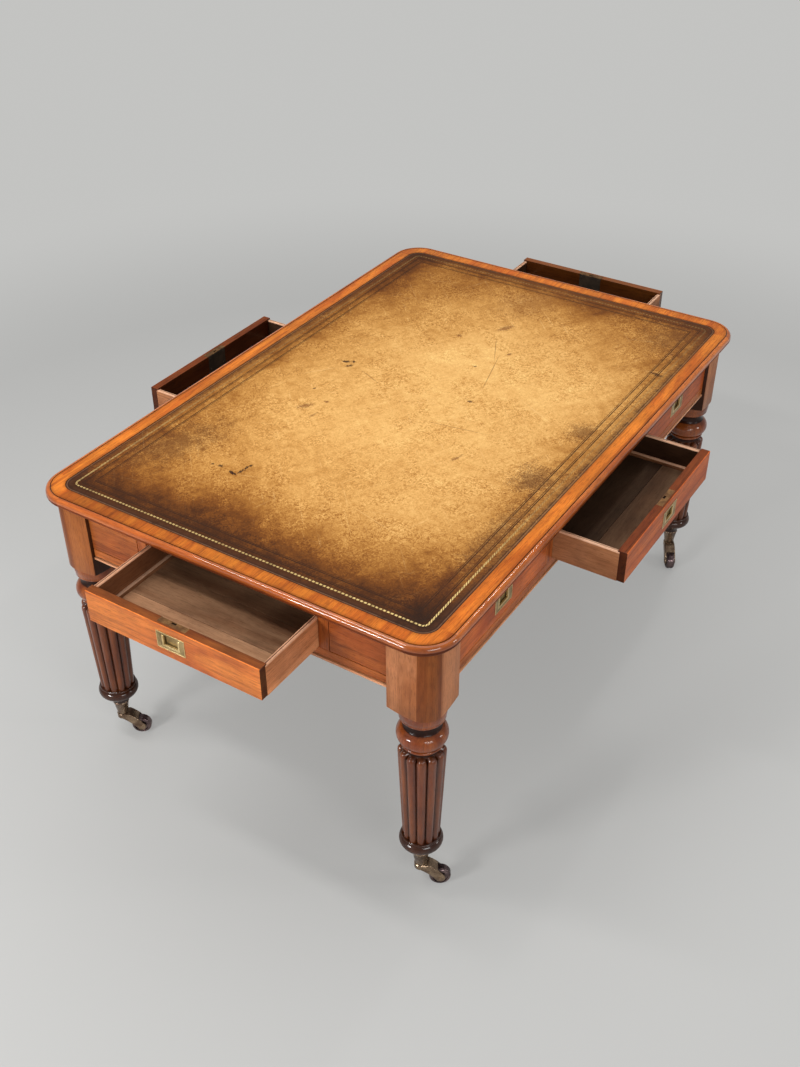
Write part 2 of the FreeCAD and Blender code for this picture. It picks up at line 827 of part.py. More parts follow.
def write_drawers():
    for drawer in drawer_list():
        spot = (drawer["side"], drawer["along"], drawer["pull"])
        pieces = {"drawer_front_": [drawer_front(drawer["width"])],
                  "drawer_box_": drawer_box(drawer["width"], drawer["depth"]),
                  "handle_and_lock_": handle_and_lock(),
                  "handle_bail_": [handle_bail()]}
        for word, solids in pieces.items():
            write(word + drawer["name"], [place(solid, *spot) for solid in solids])


os.makedirs("parts", exist_ok=True)
write_top()
write_legs_and_castors()
write_frame()
write_drawers()
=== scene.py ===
from math import atan2, copysign, cos, hypot, pi, radians, sin, sqrt

import bpy
from mathutils import Matrix, Vector


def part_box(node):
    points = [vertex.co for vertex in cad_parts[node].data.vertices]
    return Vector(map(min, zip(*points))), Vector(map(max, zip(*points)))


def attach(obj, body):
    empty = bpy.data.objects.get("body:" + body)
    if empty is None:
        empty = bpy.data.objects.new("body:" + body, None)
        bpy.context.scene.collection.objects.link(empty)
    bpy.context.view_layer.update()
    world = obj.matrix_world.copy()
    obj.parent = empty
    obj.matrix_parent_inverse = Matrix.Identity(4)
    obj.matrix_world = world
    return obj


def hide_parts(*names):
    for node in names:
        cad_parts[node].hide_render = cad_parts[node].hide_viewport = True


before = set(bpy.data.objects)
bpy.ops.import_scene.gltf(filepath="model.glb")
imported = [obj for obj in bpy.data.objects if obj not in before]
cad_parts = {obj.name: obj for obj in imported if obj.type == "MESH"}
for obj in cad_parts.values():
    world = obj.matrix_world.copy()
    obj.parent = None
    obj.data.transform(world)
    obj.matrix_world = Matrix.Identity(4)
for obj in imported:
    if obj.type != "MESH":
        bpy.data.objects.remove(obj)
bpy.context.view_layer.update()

bpy.ops.object.select_all(action="DESELECT")


# Camera
# It looks down on the near left corner from a little over head height, as the photograph does,
# so that the top, the front long side and the left end all show. The focal length is in the
# photograph's pixels and the angles are in radians.
photo_height = 1067
focal_pixels = 1248.28
camera_place = (-2.2511, -1.3747, 2.2980)
camera_heading = 0.5676
camera_dip = 0.6345
camera_lean = 0.0029

lens = bpy.data.cameras.new("camera")
lens.lens = focal_pixels * lens.sensor_width / photo_height
camera = bpy.data.objects.new("camera", lens)
camera.matrix_world = (Matrix.Translation(camera_place)
                       @ Matrix.Rotation(camera_heading - pi / 2, 4, "Z")
                       @ Matrix.Rotation(pi / 2 - camera_dip, 4, "X")
                       @ Matrix.Rotation(-camera_lean, 4, "Z"))
bpy.context.scene.collection.objects.link(camera)
bpy.context.scene.camera = camera


# Studio
# A plain pale floor that stays pale far off, one big soft light overhead, a soft fill from
# the near side, and five small ones that draw the gloss of the polish: high at the far left,
# low off the left end, by the near corner, off the long side and above it.
floor_half = 30.0
floor_colour = (200, 200, 198)
floor_glow = 0.95
lit_reach = (1.2, 3.4)
room_level = 0.30
wall_level = 0.55
wall_rise = (0.02, 0.12)
floor_lift = 0.4
lamps = [("overhead", (0.2, 0.1, 3.4), (0, 0, 0.7), 3.2, 2.4, 34),
         ("high", (-1.35, 0.9, 2.9), (0, 0.9, 0.7), 1.3, 0.2, 26),
         ("fill", (-2.2, -3.4, 2.0), (-0.3, -0.3, 0.6), 1.6, 1.2, 17),
         ("window", (-3.6, 0.95, 1.45), (0, 0.95, 0.7), 0.9, 0.3, 64),
         ("narrow", (-2.0, -2.5, 1.9), (-0.78, -0.52, 0.75), 1.5, 0.12, 16),
         ("panel", (0.7, -3.0, 1.6), (0.5, -0.3, 0.5), 0.6, 0.4, 9),
         ("ridge", (1.3, -0.5, 2.6), (1.3, -0.5, 0), 0.6, 0.12, 8)]


def paint(red, green, blue):
    """A colour as the eye reads it, 0 to 255, as the shader wants it."""
    def linear(value):
        share = value / 255
        return share / 12.92 if share < 0.04045 else ((share + 0.055) / 1.055) ** 2.4
    return (linear(red), linear(green), linear(blue), 1)


def node(tree, kind, inputs=None, **settings):
    """A shader node with its settings, its sockets given a value or joined to an output."""
    new = tree.nodes.new("ShaderNode" + kind)
    for name, value in settings.items():
        setattr(new, name, value)
    for socket, value in (inputs or {}).items():
        if isinstance(value, bpy.types.NodeSocket):
            tree.links.new(value, new.inputs[socket])
        else:
            new.inputs[socket].default_value = value
    return new


def finish(name):
    """A new material, its node tree and its surface shader."""
    material = bpy.data.materials.new(name)
    material.use_nodes = True
    tree = material.node_tree
    return material, tree, tree.nodes["Principled BSDF"]


scene = bpy.context.scene
scene.view_settings.view_transform = "Standard"
world = bpy.data.worlds.new("room")
world.use_nodes = True
room = world.node_tree


def spread(tree, value, low, high, to_low=0.0, to_high=1.0):
    """A value between low and high, eased out to a new span."""
    return node(tree, "MapRange", {0: value, 1: low, 2: high, 3: to_low, 4: to_high},
                interpolation_type="SMOOTHSTEP").outputs[0]


def worked(tree, operation, first, second=0.0, third=0.0):
    """One step of arithmetic on two or three values."""
    return node(tree, "Math", {0: first, 1: second, 2: third}, operation=operation).outputs[0]


def times(tree, first, second):
    """Two values multiplied."""
    return worked(tree, "MULTIPLY", first, second)


def seen(tree):
    """One for a ray from the camera, or from a gloss or a glass, and nothing for the rest."""
    path = node(tree, "LightPath").outputs
    gloss = worked(tree, "MAXIMUM", path["Is Glossy Ray"], path["Is Transmission Ray"])
    return worked(tree, "MAXIMUM", path["Is Camera Ray"], gloss)


way = node(room, "TexCoord").outputs["Generated"]
climb = node(room, "SeparateXYZ", {0: way}).outputs[2]
wall = node(room, "MapRange", {0: climb, 1: wall_rise[0], 2: wall_rise[1], 3: wall_level, 4: room_level})
shown = node(room, "Mix", {0: seen(room), 2: room_level, 3: wall.outputs[0]})
direct = node(room, "LightPath").outputs["Is Camera Ray"]
level = node(room, "Mix", {0: direct, 2: shown.outputs[0], 3: wall_level})
room.nodes["Background"].inputs["Color"].default_value = (1, 1, 1, 1)
room.links.new(level.outputs[0], room.nodes["Background"].inputs["Strength"])
scene.world = world

bpy.ops.mesh.primitive_plane_add(size=2 * floor_half, location=(0, 0, 0))
floor = bpy.context.active_object
floor.name = "floor"
plain, tree, shader = finish("pale_floor")
shader.inputs["Base Color"].default_value = paint(*floor_colour)
shader.inputs["Roughness"].default_value = 0.8
shader.inputs["Specular IOR Level"].default_value = 0.2
away = node(tree, "VectorMath", {0: node(tree, "TexCoord").outputs["Object"]}, operation="LENGTH").outputs[1]
far_share = times(tree, spread(tree, away, *lit_reach), seen(tree))
glow = node(tree, "Emission", {"Color": paint(*floor_colour), "Strength": floor_glow}).outputs[0]
lift = times(tree, node(tree, "LightPath").outputs["Is Camera Ray"], floor_lift)
share = worked(tree, "MAXIMUM", far_share, lift)
both = node(tree, "MixShader", {0: share, 1: shader.outputs[0], 2: glow}).outputs[0]
tree.links.new(both, tree.nodes["Material Output"].inputs["Surface"])
floor.data.materials.append(plain)

for name, place, target, width, height, power in lamps:
    lamp = bpy.data.lights.new(name, "AREA")
    lamp.shape, lamp.size, lamp.size_y, lamp.energy = "RECTANGLE", width, height, power
    holder = bpy.data.objects.new(name, lamp)
    holder.location = place
    holder.rotation_euler = (Vector(target) - Vector(place)).to_track_quat("-Z", "Y").to_euler()
    scene.collection.objects.link(holder)


# Legs
# Each leg is one length of mahogany: a square block with a rounded outer corner, a turned
# collar, neck, bulb and cove, a tapering column worked with twelve reeds, and a turned foot
# whose tenon stands in the castor's cup. The turning is French polished; its hollows are dark
# with old wax and with painted shade, and the neck is a darker mahogany of painted shade. The
# block's flat sides are painted light on the front legs and its round corner painted shade.
leg_low, leg_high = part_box("leg_front_left")
block_side = 0.105
block_round = 0.040
block_foot = leg_high.z - 0.191
collar_foot = block_foot - 0.029
neck_foot = collar_foot - 0.025
bulb_foot = neck_foot - 0.042
fillet_foot = bulb_foot - 0.007
column_head = fillet_foot - 0.012
cup_rim = 0.108
foot_head = cup_rim + 0.028
bead_head = foot_head + 0.027
column_foot = bead_head + 0.006
column_radii = (0.0409, 0.0518)
tenon_end = leg_low.z
reeds = 12
reed_strips = 12
reed_depth = 0.150
reed_dome = 0.0135
reed_core = 0.0372
cove_radius = 0.038
shoulder_radius = 0.050
shoulder_rise = 0.008
shoulder_reach = 0.0755
block_arris = 0.0008
collar_radii = (0.0483, 0.0465)
collar_step = 0.007
neck_radii = (0.0412, 0.0408, 0.0410)
neck_hollow = 0.0043
bulb_swell = 0.0134
fillet_radius = 0.0425
fillet_swell = 0.0035
cove_hollow = 0.0026
reed_blank = 0.049
bead_radius = 0.0415
bead_swell = 0.0028
foot_radius = 0.036
foot_swell = 0.0098
ankle_hollow = 0.0062
rim_radius = 0.0188
tenon_radii = (0.0164, 0.0113)
hollow_radius = 0.0405
painted_shade_flat_tone = -0.55


def noise(tree, place, scale, detail=3.0, roughness=0.5, distortion=0.0):
    """Soft random shades from 0 to 1, with as many lumps to the metre as scale says."""
    return node(tree, "TexNoise", {"Vector": place, "Scale": scale, "Detail": detail,
                                   "Roughness": roughness, "Distortion": distortion}).outputs[0]


def stretched(tree, place, scale, shift=(0, 0, 0)):
    """The same place in a pattern that is drawn out along some axes."""
    return node(tree, "Mapping", {"Vector": place, "Scale": scale, "Location": shift}).outputs[0]


def mixed(tree, share, first, second, blend="MIX"):
    """Two colours mixed, as much of the second as the share says."""
    return node(tree, "Mix", {0: share, 6: first, 7: second}, data_type="RGBA",
                blend_type=blend).outputs[2]


def wood(name, light, middle, dark, gloss=0.35, polish=0.35, streaks=1.0, pores=0.5, along=None):
    """Polished wood, its grain along the first axis of the piece's grain attribute, or along
    one of the object's own axes for a piece of the frame that has none."""
    material, tree, shader = finish(name)
    if along is None:
        place = node(tree, "Attribute", attribute_name="grain").outputs["Vector"]
    else:
        turn = {"X": (0, 0, 0), "Y": (0, 0, pi / 2), "Z": (0, pi / 2, 0)}[along]
        raw = node(tree, "TexCoord").outputs["Object"]
        place = node(tree, "Mapping", {"Vector": raw, "Rotation": turn}).outputs[0]
    tone = node(tree, "Attribute", attribute_name="tone").outputs["Fac"]
    grime_and_shade = node(tree, "Attribute", attribute_name="grime_and_shade").outputs["Fac"]
    figure = noise(tree, stretched(tree, place, (2.2, 16, 16)), 1.0, 4, 0.6, 1.0)
    bands = noise(tree, stretched(tree, place, (1.6, 80, 80)), 1.0, 4, 0.6, 0.6)
    fibres = noise(tree, stretched(tree, place, (30, 380, 380)), 1.0, 3, 0.65)
    flecks = noise(tree, stretched(tree, place, (60, 900, 900)), 1.0, 2, 0.5)
    body = mixed(tree, spread(tree, figure, 0.34, 0.66), paint(*middle), paint(*light))
    body = mixed(tree, times(tree, spread(tree, bands, 0.50, 0.74), 0.8 * streaks),
                 body, paint(*dark))
    body = mixed(tree, times(tree, spread(tree, fibres, 0.46, 0.70), 0.6 * streaks),
                 body, paint(*dark))
    pore = spread(tree, flecks, 0.62, 0.70)
    body = mixed(tree, times(tree, pore, pores), body,
                 [0.25 * value for value in paint(*dark)[:3]] + [1])
    handling = noise(tree, place, 9.0, 4, 0.65)
    shade = worked(tree, "MULTIPLY_ADD", spread(tree, handling, 0.3, 0.7), 0.34, 0.83)
    # The tone scales the colour: the board's own tone, and painted light and painted shade where a face is
    # lit or shaded.
    shade = times(tree, shade, worked(tree, "MULTIPLY_ADD", tone, 0.5, 1.0))
    body = mixed(tree, 1.0, body, node(tree, "CombineColor", {0: shade, 1: shade, 2: shade}).outputs[0],
                 "MULTIPLY")
    # Darken towards a near-black brown by each point's mark: dirt and wax, and painted shade in grooves,
    # hollows and shaded faces.
    body = mixed(tree, times(tree, grime_and_shade, 0.92), body, paint(24, 11, 7))
    tree.links.new(body, shader.inputs["Base Color"])
    matt = worked(tree, "MULTIPLY_ADD", handling, 0.22, gloss - 0.06)
    matt = worked(tree, "MULTIPLY_ADD", pore, 0.15, matt)
    tree.links.new(matt, shader.inputs["Roughness"])
    relief = worked(tree, "ADD", times(tree, fibres, 0.5), times(tree, pore, -0.6))
    bump = node(tree, "Bump", {"Height": relief, "Strength": 0.25, "Distance": 0.0004})
    tree.links.new(bump.outputs[0], shader.inputs["Normal"])
    shader.inputs["Specular IOR Level"].default_value = 0.12
    shader.inputs["Coat Weight"].default_value = polish
    shader.inputs["Coat Roughness"].default_value = 0.05
    return material


def lay_by(piece, laid):
    """Give every corner of every face its place in the wood, and how light its board is; that tone also
    carries painted light and shade on lit and shaded faces.
    """
    mesh = piece.data
    places, tones = [], []
    for face in mesh.polygons:
        for index in face.vertices:
            place, tone = laid(mesh.vertices[index].co, face.center)
            places += place
            tones.append(tone)
    mesh.attributes.new("grain", "FLOAT_VECTOR", "CORNER").data.foreach_set("vector", places)
    mesh.attributes.new("tone", "FLOAT", "CORNER").data.foreach_set("value", tones)
    return piece


def lay_grain(piece, along="X", start=(0, 0, 0), tone=0.0):
    """Lay the grain of a piece along one axis, from a place of its own in the wood."""
    order = {"X": (0, 1, 2), "Y": (1, 0, 2), "Z": (2, 0, 1)}[along]

    def laid(place, face_middle):
        return [place[axis] + shift for axis, shift in zip(order, start)], tone
    return lay_by(piece, laid)


def soil_and_shade(piece, amount):
    """Mark how dark each point of a piece is, from 0 to 1: dirt and wax, and painted shade in grooves,
    hollows and shaded faces.
    """
    shades = [amount(point.co) for point in piece.data.vertices]
    piece.data.attributes.new("grime_and_shade", "FLOAT", "POINT").data.foreach_set("value", shades)


def bow(start, end, rise, steps=6):
    """The points of a round stretch from start to end that stands rise out of its chord."""
    run = Vector((end[0] - start[0], end[1] - start[1]))
    half = run.length / 2
    side = Vector((-run.y, run.x)).normalized()
    radius = (half * half + rise * rise) / (2 * abs(rise))
    centre = Vector(start) + run / 2 + side * (rise - radius if rise > 0 else rise + radius)
    first = Vector(start) - centre
    swing = 2 * atan2(half, radius - abs(rise)) * (-1 if rise > 0 else 1)
    points = []
    for step in range(1, steps + 1):
        angle = swing * step / steps
        points.append((centre.x + first.x * cos(angle) - first.y * sin(angle),
                       centre.y + first.x * sin(angle) + first.y * cos(angle)))
    return points


def drawn(*stretches):
    """An outline of plain points and of round stretches, which give their rise and steps too."""
    points, start = [], None
    for across, up, *bend in stretches:
        points += bow(start, (across, up), *bend) if bend else [(across, up)]
        start = (across, up)
    return points


def faced_out(piece):
    """Turn every face of a piece outward and leave edit mode."""
    bpy.ops.mesh.select_all(action="SELECT")
    bpy.ops.mesh.normals_make_consistent(inside=False)
    bpy.ops.object.mode_set(mode="OBJECT")
    return piece


def turn(name, profile, sides=64):
    """A piece turned on the Z axis: a disc, drawn down and sized at each radius and height."""
    radius, height = profile[0]
    bpy.ops.mesh.primitive_circle_add(vertices=sides, radius=radius, fill_type="NGON",
                                      location=(0, 0, height))
    piece = bpy.context.active_object
    piece.name = name
    bpy.ops.object.transform_apply(location=True, rotation=True, scale=True)
    bpy.ops.object.mode_set(mode="EDIT")
    for wider, lower in profile[1:]:
        bpy.ops.mesh.extrude_region_move(TRANSFORM_OT_translate={"value": (0, 0, lower - height)})
        size = wider / radius
        bpy.ops.transform.resize(value=(size, size, 1), center_override=(0, 0, lower))
        radius, height = wider, lower
    return faced_out(piece)


def carve(piece, tool, operation="DIFFERENCE"):
    """Cut a piece with another, join it to it or keep what they share, and clear the other away."""
    change = piece.modifiers.new("carve", "BOOLEAN")
    change.operation, change.object, change.solver = operation, tool, "EXACT"
    with bpy.context.temp_override(object=piece, active_object=piece):
        bpy.ops.object.modifier_apply(modifier=change.name)
    bpy.data.objects.remove(tool)
    return piece


def block(low, high):
    """A rough sawn block between two corners, to be shaped."""
    low, high = Vector(low), Vector(high)
    bpy.ops.mesh.primitive_cube_add(size=1, location=(low + high) / 2, scale=high - low)
    bpy.ops.object.transform_apply(location=True, rotation=True, scale=True)
    return bpy.context.active_object


def choose(piece, kind, test):
    """Enter edit mode with only the faces, edges or points chosen whose middle passes a test."""
    bpy.ops.object.select_all(action="DESELECT")
    bpy.context.view_layer.objects.active = piece
    piece.select_set(True)
    bpy.ops.object.mode_set(mode="EDIT")
    bpy.ops.mesh.select_mode(type=kind)
    bpy.ops.mesh.select_all(action="DESELECT")
    bpy.ops.object.mode_set(mode="OBJECT")
    mesh = piece.data
    items = {"FACE": mesh.polygons, "EDGE": mesh.edges, "VERT": mesh.vertices}[kind]
    for item in items:
        if kind == "VERT":
            item.select = test([item.co])
        else:
            item.select = test([mesh.vertices[index].co for index in item.vertices])
    bpy.ops.object.mode_set(mode="EDIT")


def rounded(piece, test, offset, segments):
    """Round the edges of a piece whose ends pass a test."""
    choose(piece, "EDGE", test)
    bpy.ops.mesh.bevel(offset=offset, segments=segments, profile=0.5)
    bpy.ops.object.mode_set(mode="OBJECT")


def soften(piece, width, segments=2, angle=40):
    """Ease the sharp edges of a piece and merge the points that this lays on each other."""
    ease = piece.modifiers.new("ease", "BEVEL")
    ease.width, ease.segments = width, segments
    ease.limit_method, ease.angle_limit = "ANGLE", radians(angle)
    merge = piece.modifiers.new("merge", "WELD")
    merge.merge_threshold = 0.000003
    with bpy.context.temp_override(object=piece, active_object=piece):
        bpy.ops.object.modifier_apply(modifier="ease")
        bpy.ops.object.modifier_apply(modifier="merge")
    return piece


def clad(piece, *materials):
    """Give a piece its materials, the first of them on every face."""
    piece.data.materials.clear()
    for material in materials:
        piece.data.materials.append(material)


def copy_of(piece, name, matrix):
    """A copy of a finished piece with its own mesh, moved to its place."""
    copy = piece.copy()
    copy.data = piece.data.copy()
    copy.name = name
    copy.data.name = name
    copy.data.transform(matrix)
    scene.collection.objects.link(copy)
    return copy


def smooth(piece, angle=35):
    """Round the shading over edges that turn less than an angle."""
    bpy.ops.object.select_all(action="DESELECT")
    bpy.context.view_layer.objects.active = piece
    piece.select_set(True)
    bpy.ops.object.shade_smooth_by_angle(angle=radians(angle))
    piece.select_set(False)


def reeded(angle, depth):
    """How far out a reed stands at an angle from its crest, as a share of the crest."""
    half = pi / reeds
    groove = 1 - depth
    chord = groove * cos(half)
    rise = 1 - chord
    bend = ((groove * sin(half)) ** 2 + rise * rise) / (2 * rise)
    centre = 1 - bend
    return centre * cos(angle) + sqrt(bend * bend - (centre * sin(angle)) ** 2)


def crest_at(height):
    """How far the crests of the reeds stand out from the leg's axis at a height."""
    share = (height - column_foot) / (column_head - column_foot)
    return column_radii[0] + share * (column_radii[1] - column_radii[0])


half_block = block_side / 2
head = block((-half_block, -half_block, block_foot), (half_block, half_block, leg_high.z))
rounded(head, lambda ends: all(end.x < 0 and end.y < 0 for end in ends), block_round, 14)
shoulder = turn("shoulder", [(shoulder_radius, block_foot), (shoulder_reach, block_foot + shoulder_rise),
                             (shoulder_reach, leg_high.z + 0.01)], 96)
carve(head, shoulder, "INTERSECT")
soften(head, block_arris)

heights = [column_head - reed_dome * (1 - cos(pi / 2 * step / 9)) for step in range(10)]
heights += [heights[-1] + (column_foot - heights[-1]) * step / 14 for step in range(1, 15)]
profile = drawn(
    (shoulder_radius, block_foot + 0.004), (shoulder_radius, block_foot),
    (collar_radii[0], collar_foot + collar_step, 0.0012, 8), (collar_radii[1], collar_foot, 0.0012, 5),
    (neck_radii[0], collar_foot), (neck_radii[1], collar_foot - 0.0008),
    (neck_radii[2], neck_foot, -neck_hollow, 12), (neck_radii[2], bulb_foot, bulb_swell, 18),
    (fillet_radius, bulb_foot), (fillet_radius, fillet_foot, fillet_swell, 8),
    (cove_radius, column_head, -cove_hollow, 6), *[(reed_blank, height) for height in heights],
    (bead_radius, column_foot - 0.0002), (bead_radius, bead_head, bead_swell, 7),
    (foot_radius, foot_head, foot_swell, 14), (rim_radius, cup_rim, -ankle_hollow, 9),
    (tenon_radii[0], cup_rim), (tenon_radii[1], tenon_end))
leg = turn("leg", profile, reeds * reed_strips)
for point in leg.data.vertices:
    height = point.co.z
    out = hypot(point.co.x, point.co.y)
    if column_foot - 0.0001 <= height <= column_head + 0.0001 and out > cove_radius + 0.0005:
        angle = (atan2(point.co.y, point.co.x) + pi / reeds) % (2 * pi / reeds) - pi / reeds
        reach = crest_at(height) * reeded(angle, reed_depth)
        rise = max(0, height - (column_head - reed_dome)) / reed_dome
        width = 1 - (angle * reeds / pi) ** 2
        dome = sqrt(max(0, 1 - rise * rise / width)) if rise * rise < width else 0.0
        reach = reed_core + (reach - reed_core) * dome if rise > 0 else reach
        point.co.x *= reach / out
        point.co.y *= reach / out
carve(leg, head, "UNION")
smooth(leg, 32)


def is_flat(middle):
    """Whether a face of the leg lies in one of the block's two flat outer sides."""
    return min(middle.x, middle.y) < -half_block + 0.0004


def leg_wax_and_shade(place):
    """Wax gathers in the grooves between reeds, in the hollows of the turning and at the foot, and the
    grooves and hollows are also painted dark as shade. The block's inner faces are painted dark as shade.
    """
    reach = hypot(place.x, place.y)
    if column_foot < place.z < column_head:
        hollow = min(1, max(0, 1 - reach / crest_at(place.z)) / reed_depth) ** 1.5
        if place.z > column_head - 0.8 * reed_dome:
            return hollow * 0.6
        return max(hollow, 0.55 * (1 - (place.z - column_foot) / 0.035))
    if place.z > block_foot - 0.001:
        return 0.9 if max(place.x, place.y) > half_block - 0.0002 else 0.0
    if place.z > column_head:
        return min(1, max(0, (0.0440 - reach) / 0.006)) * 0.75
    return min(1, max(0, (0.042 - reach) / 0.008)) * 0.7


def leg_laid(place, middle):
    """The grain runs up the leg. The block's flat sides are painted light and its round corner
    painted shade, as light falls on them; the wood below the block is dark, more so down to
    the foot."""
    if middle.z > block_foot + 0.001:
        tone = 0.30 if is_flat(middle) else -0.80
    elif middle.z > column_head:
        tone = -0.80
    else:
        tone = -1.15 if middle.z > column_foot else -1.80
    return [place.z, place.x, place.y], tone


lay_by(leg, leg_laid)
soil_and_shade(leg, leg_wax_and_shade)
# The front legs' flat block sides take a paler copy of the block's mahogany: painted light.
clad(leg, wood("mahogany_leg", (186, 98, 42), (150, 68, 25), (82, 34, 13), 0.3, 0.8, 0.6),
     wood("mahogany_block", (180, 104, 48), (146, 74, 28), (84, 38, 14), 0.35, 0.2, 0.6),
     wood("mahogany_block_painted_light", (176, 114, 74), (146, 86, 48), (84, 42, 20), 0.4, 0.15, 0.6),
     wood("mahogany_neck_painted_shade", (96, 46, 26), (66, 30, 16), (36, 16, 9), 0.3, 0.15, 0.4))
# Faces of the neck hollow take a dark matt mahogany: painted shade in the hollow.
for face in leg.data.polygons:
    if face.center.z > block_foot + 0.001:
        face.material_index = 2 if is_flat(face.center) else 1
    elif face.center.z > column_head and hypot(face.center.x, face.center.y) < hollow_radius:
        face.material_index = 3
legs = {"front_left": 0, "front_right": 90, "back_right": 180, "back_left": 270}
legs_with_painted_light = ("front_left", "front_right")
cup_radius = 0.020
low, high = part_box("castor_cups")
near_axis = Vector((cup_radius - high.x, cup_radius - high.y, 0))
leg_axis = {}
for name, degrees in legs.items():
    low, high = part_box("leg_" + name)
    leg_axis[name] = Vector((copysign(near_axis.x, low.x), copysign(near_axis.y, low.y), 0))
    place = Matrix.Translation(leg_axis[name]) @ Matrix.Rotation(radians(degrees), 4, "Z")
    piece = copy_of(leg, "leg_turned_" + name, place)
    # The back legs' flat sides keep the block's mahogany at a darker tone: painted shade.
    tones = piece.data.attributes["tone"].data
    for face in piece.data.polygons:
        if face.material_index == 2 and name not in legs_with_painted_light:
            face.material_index = 1
            for corner in face.loop_indices:
                tones[corner].value = painted_shade_flat_tone
    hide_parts("leg_" + name)
    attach(piece, "desk")
bpy.data.objects.remove(leg)


# Castors
# A cast brass cup on each foot, with a rolled rim; a heavy horn that swivels on a pin riveted
# into the cup; and a solid wheel between the horn's cheeks. All worn dark and smooth.
cup_foot = 0.066
horn_top = 0.0657
horn_foot = 0.051
horn_reach = 0.017
wheel_radius = 0.024
wheel_half = 0.011
cheek_inner = 0.0115
cheek_outer = 0.0150
boss_radius = 0.012
trail = 0.043
pin_radius = 0.005
axle_radius = 0.004
running_gap = 0.0002
socket_radius = 0.0166
cup_waist = 0.0135
cup_foot_radius = 0.011
rim_height = 0.005
rivet_radius = 0.008
rivet_height = 0.0026
plate_radius = 0.0149
pocket_radius = 0.009
wheel_clearance = 0.0015
tread_half = 0.003
rim_inner = (0.0167, 0.017, 0.020)
hub_outer = (0.009, 0.0093)
web_half = (0.0086, 0.0085)


def metal(name, light, dark, roughness=0.35, tarnish=0.5, scale=120.0, metallic=0.9):
    """Cast and rubbed metal: bright where it is touched, brown where it isn't, finely pitted."""
    material, tree, shader = finish(name)
    place = node(tree, "TexCoord").outputs["Object"]
    clouds = noise(tree, place, scale, 4, 0.6)
    pits = noise(tree, place, scale * 12, 2, 0.6)
    share = spread(tree, clouds, tarnish - 0.15, tarnish + 0.2)
    colour = mixed(tree, share, paint(*dark), paint(*light))
    colour = mixed(tree, times(tree, spread(tree, pits, 0.55, 0.7), 0.5), colour, paint(*dark))
    tree.links.new(colour, shader.inputs["Base Color"])
    shader.inputs["Metallic"].default_value = metallic
    rough = worked(tree, "MULTIPLY_ADD", share, -0.12, roughness + 0.12)
    tree.links.new(rough, shader.inputs["Roughness"])
    bump = node(tree, "Bump", {"Height": pits, "Strength": 0.3, "Distance": 0.0003})
    tree.links.new(bump.outputs[0], shader.inputs["Normal"])
    return material


castor_brass = metal("castor_brass", (168, 144, 118), (104, 82, 66), 0.20, 0.5, 40.0, 0.8)
wheel_brass = metal("castor_wheel_brass", (134, 114, 112), (76, 60, 62), 0.18, 0.5, 40.0, 0.8)

rivet_head = horn_foot - 0.0004
cup = turn("cup", drawn((socket_radius, cup_rim), (rim_radius, cup_rim),
                        (rim_radius, cup_rim - rim_height, 0.0012, 6), (cup_waist, cup_foot + 0.0025),
                        (cup_foot_radius, cup_foot, 0.0007, 4), (pin_radius, cup_foot),
                        (pin_radius, rivet_head + 0.0001)), 48)
carve(cup, turn("socket", [(socket_radius, cup_rim + 0.001), (socket_radius, cup_rim),
                           (tenon_radii[1], cup_foot + 0.003)], 48))
rivet = turn("rivet", drawn((pin_radius - 0.0001, rivet_head + 0.0002), (rivet_radius, rivet_head),
                            (pin_radius, rivet_head - rivet_height, 0.0006, 4)), 32)
carve(cup, rivet, "UNION")
smooth(cup)
cups = [copy_of(cup, "cup_" + name, Matrix.Translation(leg_axis[name])) for name in legs]
bpy.data.objects.remove(cup)


def joined(name, pieces):
    """Several objects made one, each keeping its own shape."""
    bpy.ops.object.select_all(action="DESELECT")
    for piece in pieces:
        piece.select_set(True)
    bpy.context.view_layer.objects.active = pieces[0]
    if len(pieces) > 1:
        bpy.ops.object.join()
    whole = bpy.context.active_object
    whole.name = name
    whole.data.name = name
    whole.select_set(False)
    return whole


cups = joined("castor_cups_cast", cups)
clad(cups, castor_brass)
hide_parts("castor_cups")
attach(cups, "desk")


horn_slope = Vector((trail + 0.010, (horn_foot + horn_top) / 2 - wheel_radius))
across = boss_radius * horn_slope.y / horn_slope.length
up = boss_radius * horn_slope.x / horn_slope.length
back_heel, nape = (-0.001, horn_foot + 0.0004), (horn_reach, horn_top - 0.0004)
crest, sole = (trail + across, wheel_radius + up), (trail - across, wheel_radius - up)
crest_angle = atan2(up, across)
boss_arc = [crest_angle - pi * step / 12 for step in range(1, 12)]
outline = drawn((back_heel[0], nape[1]), nape, (*crest, 0.003, 8),
                *[(trail + boss_radius * cos(angle), wheel_radius + boss_radius * sin(angle))
                  for angle in boss_arc],
                sole, (*back_heel, -0.003, 8))


def sheet(name, places):
    """A face with its corners at these places, left in edit mode and chosen."""
    bpy.ops.mesh.primitive_circle_add(vertices=len(places), radius=1, fill_type="NGON")
    piece = bpy.context.active_object
    piece.name = name
    for point, place in zip(piece.data.vertices, places):
        point.co = place
    bpy.ops.object.mode_set(mode="EDIT")
    bpy.ops.mesh.select_all(action="SELECT")
    return piece


def rod(radius, length, place, rotation, sides):
    """A round bar with its middle at a place."""
    bpy.ops.mesh.primitive_cylinder_add(vertices=sides, radius=radius, depth=length, location=place,
                                        rotation=rotation)
    bpy.ops.object.transform_apply(location=True, rotation=True, scale=True)
    return bpy.context.active_object


